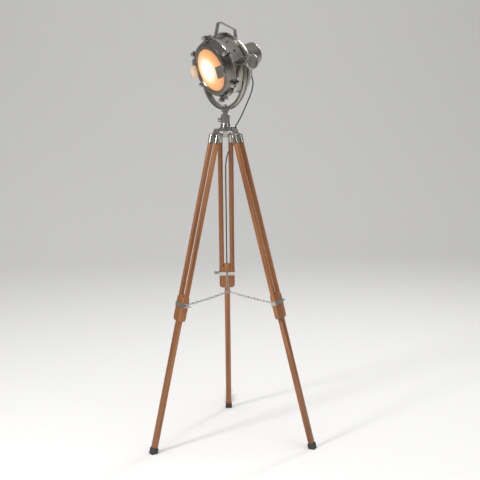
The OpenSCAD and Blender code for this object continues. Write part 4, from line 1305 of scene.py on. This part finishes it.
@dataclass
class Legs:
    """The timber that shows: the lower legs and the cheeks that guide them."""

    stand: Stand
    palette: Palette

    def build(self) -> None:
        """Build the timber of all three legs."""
        for side in Side:
            self._lower(side)
            for hand in (-1, 1):
                self._cheek(side, hand)

    def _lower(self, side: Side) -> None:
        """Build one lower leg with eased edges.

        Args:
            side: Which leg.
        """
        s = self.stand
        place = s.leg_frame(side)
        across, _, up = place.to_3x3().col
        low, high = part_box(f"{side.word}_lower_leg")
        top = s.lower_above - s.drop(side)
        bottom = top - (high - low).z / up.z + s.lower_depth * abs(across.z) / up.z
        piece = Bench.box((s.lower_depth, s.lower_width, top - bottom), (0.0, 0.0, (top + bottom) / 2))
        Bench.ease(piece, 1.6 * MM, 4)
        fit(piece, f"{side.word}_lower_timber", place, self.palette.timber(side), f"{side.word}_lower_leg")
        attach(piece, f"{side.word}_foot")

    def _cheek(self, side: Side, hand: int) -> None:
        """Build one cheek, with its outer lower corner rounded.

        Args:
            side: Which leg.
            hand: -1 or 1, the rod that it sits under.
        """
        s = self.stand
        middle = (s.cheek_above - s.cheek_below) / 2

        def round_corner(piece: bpy.types.Object) -> None:
            """Round the outer lower corner of the block.

            Args:
                piece: The block.
            """
            Bench.pick_edges(piece, lambda *ends: all(c.z < middle and c.y * hand > 0 for c in ends))
            bpy.ops.mesh.bevel(offset=s.cheek_round, segments=10, affect="EDGES")
            Bench.close()

        depth = s.lower_depth + 2 * s.slide_gap
        piece = Bench.box(
            (depth, s.rod_diameter, s.cheek_above + s.cheek_below), (0.0, 0.0, middle), round_corner)
        Bench.ease(piece, 1.2 * MM, 3, 50.0)
        pitch = s.lower_width + 2 * s.slide_gap + s.rod_diameter
        place = s.leg_frame(side) @ Matrix.Translation((0.0, hand * pitch / 2, -s.drop(side)))
        fit(piece, f"{side.word}_cheek_{'outer' if hand > 0 else 'inner'}", place, self.palette.timber(side),
            f"{side.word}_leg_cheeks")
        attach(piece, f"{side.word}_upper_leg")


@dataclass
class Chains:
    """The three chains from the ring in the middle to the clamps, which stop the legs from spreading.

    Attributes:
        gap: Clear width inside a link.
        play: How much longer a link is inside than it has to be.
        ring_hold: How far the first link reaches back past the ring's middle line.
        ring_drop: Distance from the hinges down to the ring.
        eye_in: Distance of a clamp's eye from the leg's middle line.
        eye_hold: How far the last link stops short of the eye's middle.
    """

    stand: Stand
    palette: Palette
    wire: float = 2.6 * MM
    gap: float = 4.4 * MM
    pitch: float = 14 * MM
    play: float = 0.3 * MM
    sag: float = 3 * MM
    ring_radius: float = 9 * MM
    ring_hold: float = 2.1 * MM
    ring_drop: float = 656 * MM
    eye_in: float = 17.8 * MM
    eye_hold: float = 3.2 * MM

    def build(self) -> None:
        """Build the chain of each leg."""
        for side in Side:
            self._chain(side)

    def _link(self, clear: float, place: Matrix) -> bpy.types.Object:
        """Build one link by drawing out the halves of a ring.

        Args:
            clear: Clear length inside the link.
            place: Its place in the object's frame.

        Returns:
            The link.
        """
        bend = (self.gap + self.wire) / 2
        Bench.clear()
        bpy.ops.mesh.primitive_torus_add(
            major_segments=14, minor_segments=6, major_radius=bend, minor_radius=self.wire / 2)
        link = bpy.context.object
        for vertex in link.data.vertices:
            vertex.co.x += math.copysign((clear + self.wire) / 2 - bend, vertex.co.x)
        link.data.transform(place)
        return link

    def _chain(self, side: Side) -> None:
        """Build one chain, each link turned a quarter against the last.

        Args:
            side: Which leg.
        """
        s = self.stand
        leg = s.leg_frame(side)
        plane = Matrix.Translation(s.shift) @ Matrix.Rotation(math.radians(side.value), 4, "Z")
        start = Vector((self.ring_radius, 0.0, leg.translation.z - self.ring_drop))
        end = plane.inverted() @ leg @ Vector((-self.eye_in, 0.0, -s.drop(side)))
        span = end - start
        reach = span.length + self.ring_hold - self.eye_hold
        count = 2 * round(reach / self.pitch / 2)
        pitch = reach / count
        slope = math.atan2(span.z, span.x)
        links = []
        for k in range(count):
            along = pitch * (k + 0.5) - self.ring_hold
            t = max(0.0, along / span.length)
            lean = math.atan(4 * self.sag * (1 - 2 * t) / span.length)
            middle = start + span.normalized() * along - Vector((0.0, 0.0, 4 * self.sag * t * (1 - t)))
            quarter = math.radians(90.0 * (k % 2 == 0))
            turn = Matrix.Rotation(lean - slope, 4, "Y") @ Matrix.Rotation(quarter, 4, "X")
            links.append(self._link(pitch + self.play, plane @ Matrix.Translation(middle) @ turn))
        piece = Bench.join(links)
        bpy.ops.object.shade_smooth()
        fit(piece, f"{side.word}_chain_links", Matrix.Identity(4), self.palette["chain_nickel"],
            f"{side.word}_chain")
        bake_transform(piece)


# ---------------------------------------------------------------- studio


@dataclass(frozen=True)
class Softbox:
    """One soft lamp: where it stands, what it is aimed at, its size in metres and its watts."""

    name: str
    place: Point
    aim: Point
    size: tuple[float, float]
    watts: float
    shows: bool = True

    def build(self) -> None:
        """Hang the lamp; one that doesn't show is left out of what metal reflects."""
        lamp = bpy.data.lights.new(self.name, "AREA")
        lamp.shape = "RECTANGLE"
        lamp.size, lamp.size_y = self.size
        lamp.energy = self.watts
        holder = bpy.data.objects.new(self.name, lamp)
        holder.location = self.place
        holder.visible_glossy = self.shows
        holder.rotation_euler = (Vector(self.aim) - Vector(self.place)).to_track_quat("-Z", "Y").to_euler()
        bpy.context.scene.collection.objects.link(holder)


@dataclass
class Studio:
    """Floor, backdrop, lights and the camera.

    Attributes:
        camera_at: Place of the camera, measured from the stem's axis.
        heading: Direction of the view from Y towards X, in degrees.
        pitch: How far it looks down, in degrees.
        roll: How far it leans to one side, in degrees.
        focal_pixels: Focal length, as a number of the photograph's pixels.
        room: The colours that polished metal reflects, from the horizon up.
    """

    stand: Stand
    camera_at: Point = (-0.1236, -4.3983, 1.586)
    heading: float = 2.277
    pitch: float = 9.46
    roll: float = -1.03
    focal_pixels: float = 1066.0
    frame_pixels: float = 480.0
    sensor: float = 36.0
    floor_colour: Colour = (0.8, 0.795, 0.785)
    floor_size: tuple[float, float] = (60.0, 34.0)
    floor_end: float = 4.0
    cove_radius: float = 2.0
    cove_steps: int = 12
    wall_height: float = 7.0
    room: tuple[tuple[float, Colour], ...] = (
        (0.0, (0.25, 0.25, 0.252)), (0.09, (0.19, 0.19, 0.193)), (0.25, (0.14, 0.142, 0.148)),
        (0.7, (0.5, 0.5, 0.5)))
    lamps: tuple[Softbox, ...] = (
        Softbox("ceiling", (0.0, -1.2, 5.2), (0.0, 0.2, 0.0), (5.0, 5.0), 185.0, shows=False),
        Softbox("key", (-2.4, -2.2, 2.9), (0.0, 0.0, 1.1), (0.45, 1.6), 64.0),
        Softbox("fill", (2.9, -2.4, 2.3), (0.0, 0.0, 1.2), (0.35, 1.4), 11.0),
        Softbox("rim", (1.5, 1.9, 3.0), (0.0, 0.0, 1.5), (0.4, 1.2), 22.0),
    )

    def build(self) -> None:
        """Build everything round the lamp."""
        self._camera()
        self._backdrop()
        self._room()
        for lamp in self.lamps:
            lamp.build()
        bpy.context.scene.view_settings.view_transform = "Standard"

    def _camera(self) -> None:
        """Place the camera at the photograph's viewing angle."""
        yaw, pitch, roll = (math.radians(v) for v in (self.heading, self.pitch, self.roll))
        ahead = Vector((math.sin(yaw) * math.cos(pitch), math.cos(yaw) * math.cos(pitch), -math.sin(pitch)))
        right = Vector((math.cos(yaw), -math.sin(yaw), 0.0))
        up = right.cross(ahead)
        across = right * math.cos(roll) + up * math.sin(roll)
        above = up * math.cos(roll) - right * math.sin(roll)
        data = bpy.data.cameras.new("view")
        data.sensor_width = self.sensor
        data.lens = self.focal_pixels / self.frame_pixels * self.sensor
        data.clip_end = 60.0
        camera = bpy.data.objects.new("view", data)
        camera.matrix_world = Matrix((across, above, -ahead)).transposed().to_4x4()
        camera.location = Vector(self.camera_at) + self.stand.shift
        bpy.context.scene.collection.objects.link(camera)
        bpy.context.scene.camera = camera

    def _backdrop(self) -> None:
        """Build the floor and, behind it, the wall that it curves up into."""
        Bench.clear()
        bpy.ops.mesh.primitive_plane_add(size=1.0)
        sheet = bpy.context.object
        sheet.name = "studio_floor"
        wide, deep = self.floor_size
        bpy.ops.object.mode_set(mode="EDIT")
        bpy.ops.mesh.select_all(action="SELECT")
        bpy.ops.transform.resize(value=(wide, deep, 1.0))
        bpy.ops.transform.translate(value=(0.0, self.floor_end - deep / 2, 0.0))
        bpy.ops.object.mode_set(mode="OBJECT")
        Bench.pick_edges(sheet, lambda a, b: min(a.y, b.y) > self.floor_end - 0.1)
        turns = [math.radians(90 * k / self.cove_steps) for k in range(self.cove_steps + 1)]
        cove = [self.cove_radius * Vector((0.0, math.sin(a), -math.cos(a))) for a in turns]
        moves = [b - a for a, b in zip(cove, cove[1:])]
        for move in [*moves, (0.0, 0.0, self.wall_height)]:
            bpy.ops.mesh.extrude_edges_move(TRANSFORM_OT_translate={"value": move})
        Bench.close()
        bpy.ops.object.shade_smooth()
        material = bpy.data.materials.new("studio_paper")
        material.use_nodes = True
        shader = material.node_tree.nodes["Principled BSDF"]
        shader.inputs["Base Color"].default_value = (*self.floor_colour, 1.0)
        shader.inputs["Roughness"].default_value = 0.9
        dress(sheet, material)

    def _room(self) -> None:
        """Set the dark of the room that polished metal reflects."""
        world = bpy.data.worlds.new("room")
        world.use_nodes = True
        g = Graph(world.node_tree)
        parts = g.add("SeparateXYZ")
        g.link(g.add("TexCoord").outputs["Generated"], parts.inputs[0])
        sky = g.ramp(parts.outputs["Z"], self.room)
        g.link(sky, world.node_tree.nodes["Background"].inputs["Color"])
        bpy.context.scene.world = world


def main() -> None:
    """Build the scene in order."""
    logging.basicConfig(level=logging.INFO, format="%(name)s: %(message)s")
    stand, beam = Stand(), Beam()
    Studio(stand).build()
    palette = Palette(stand, beam)
    palette.build()
    Carried(palette).build()
    Cord(stand, palette).build()
    Legs(stand, palette).build()
    Chains(stand, palette).build()
    Spotlight(beam, palette).build()


if __name__ == "__main__":
    main()
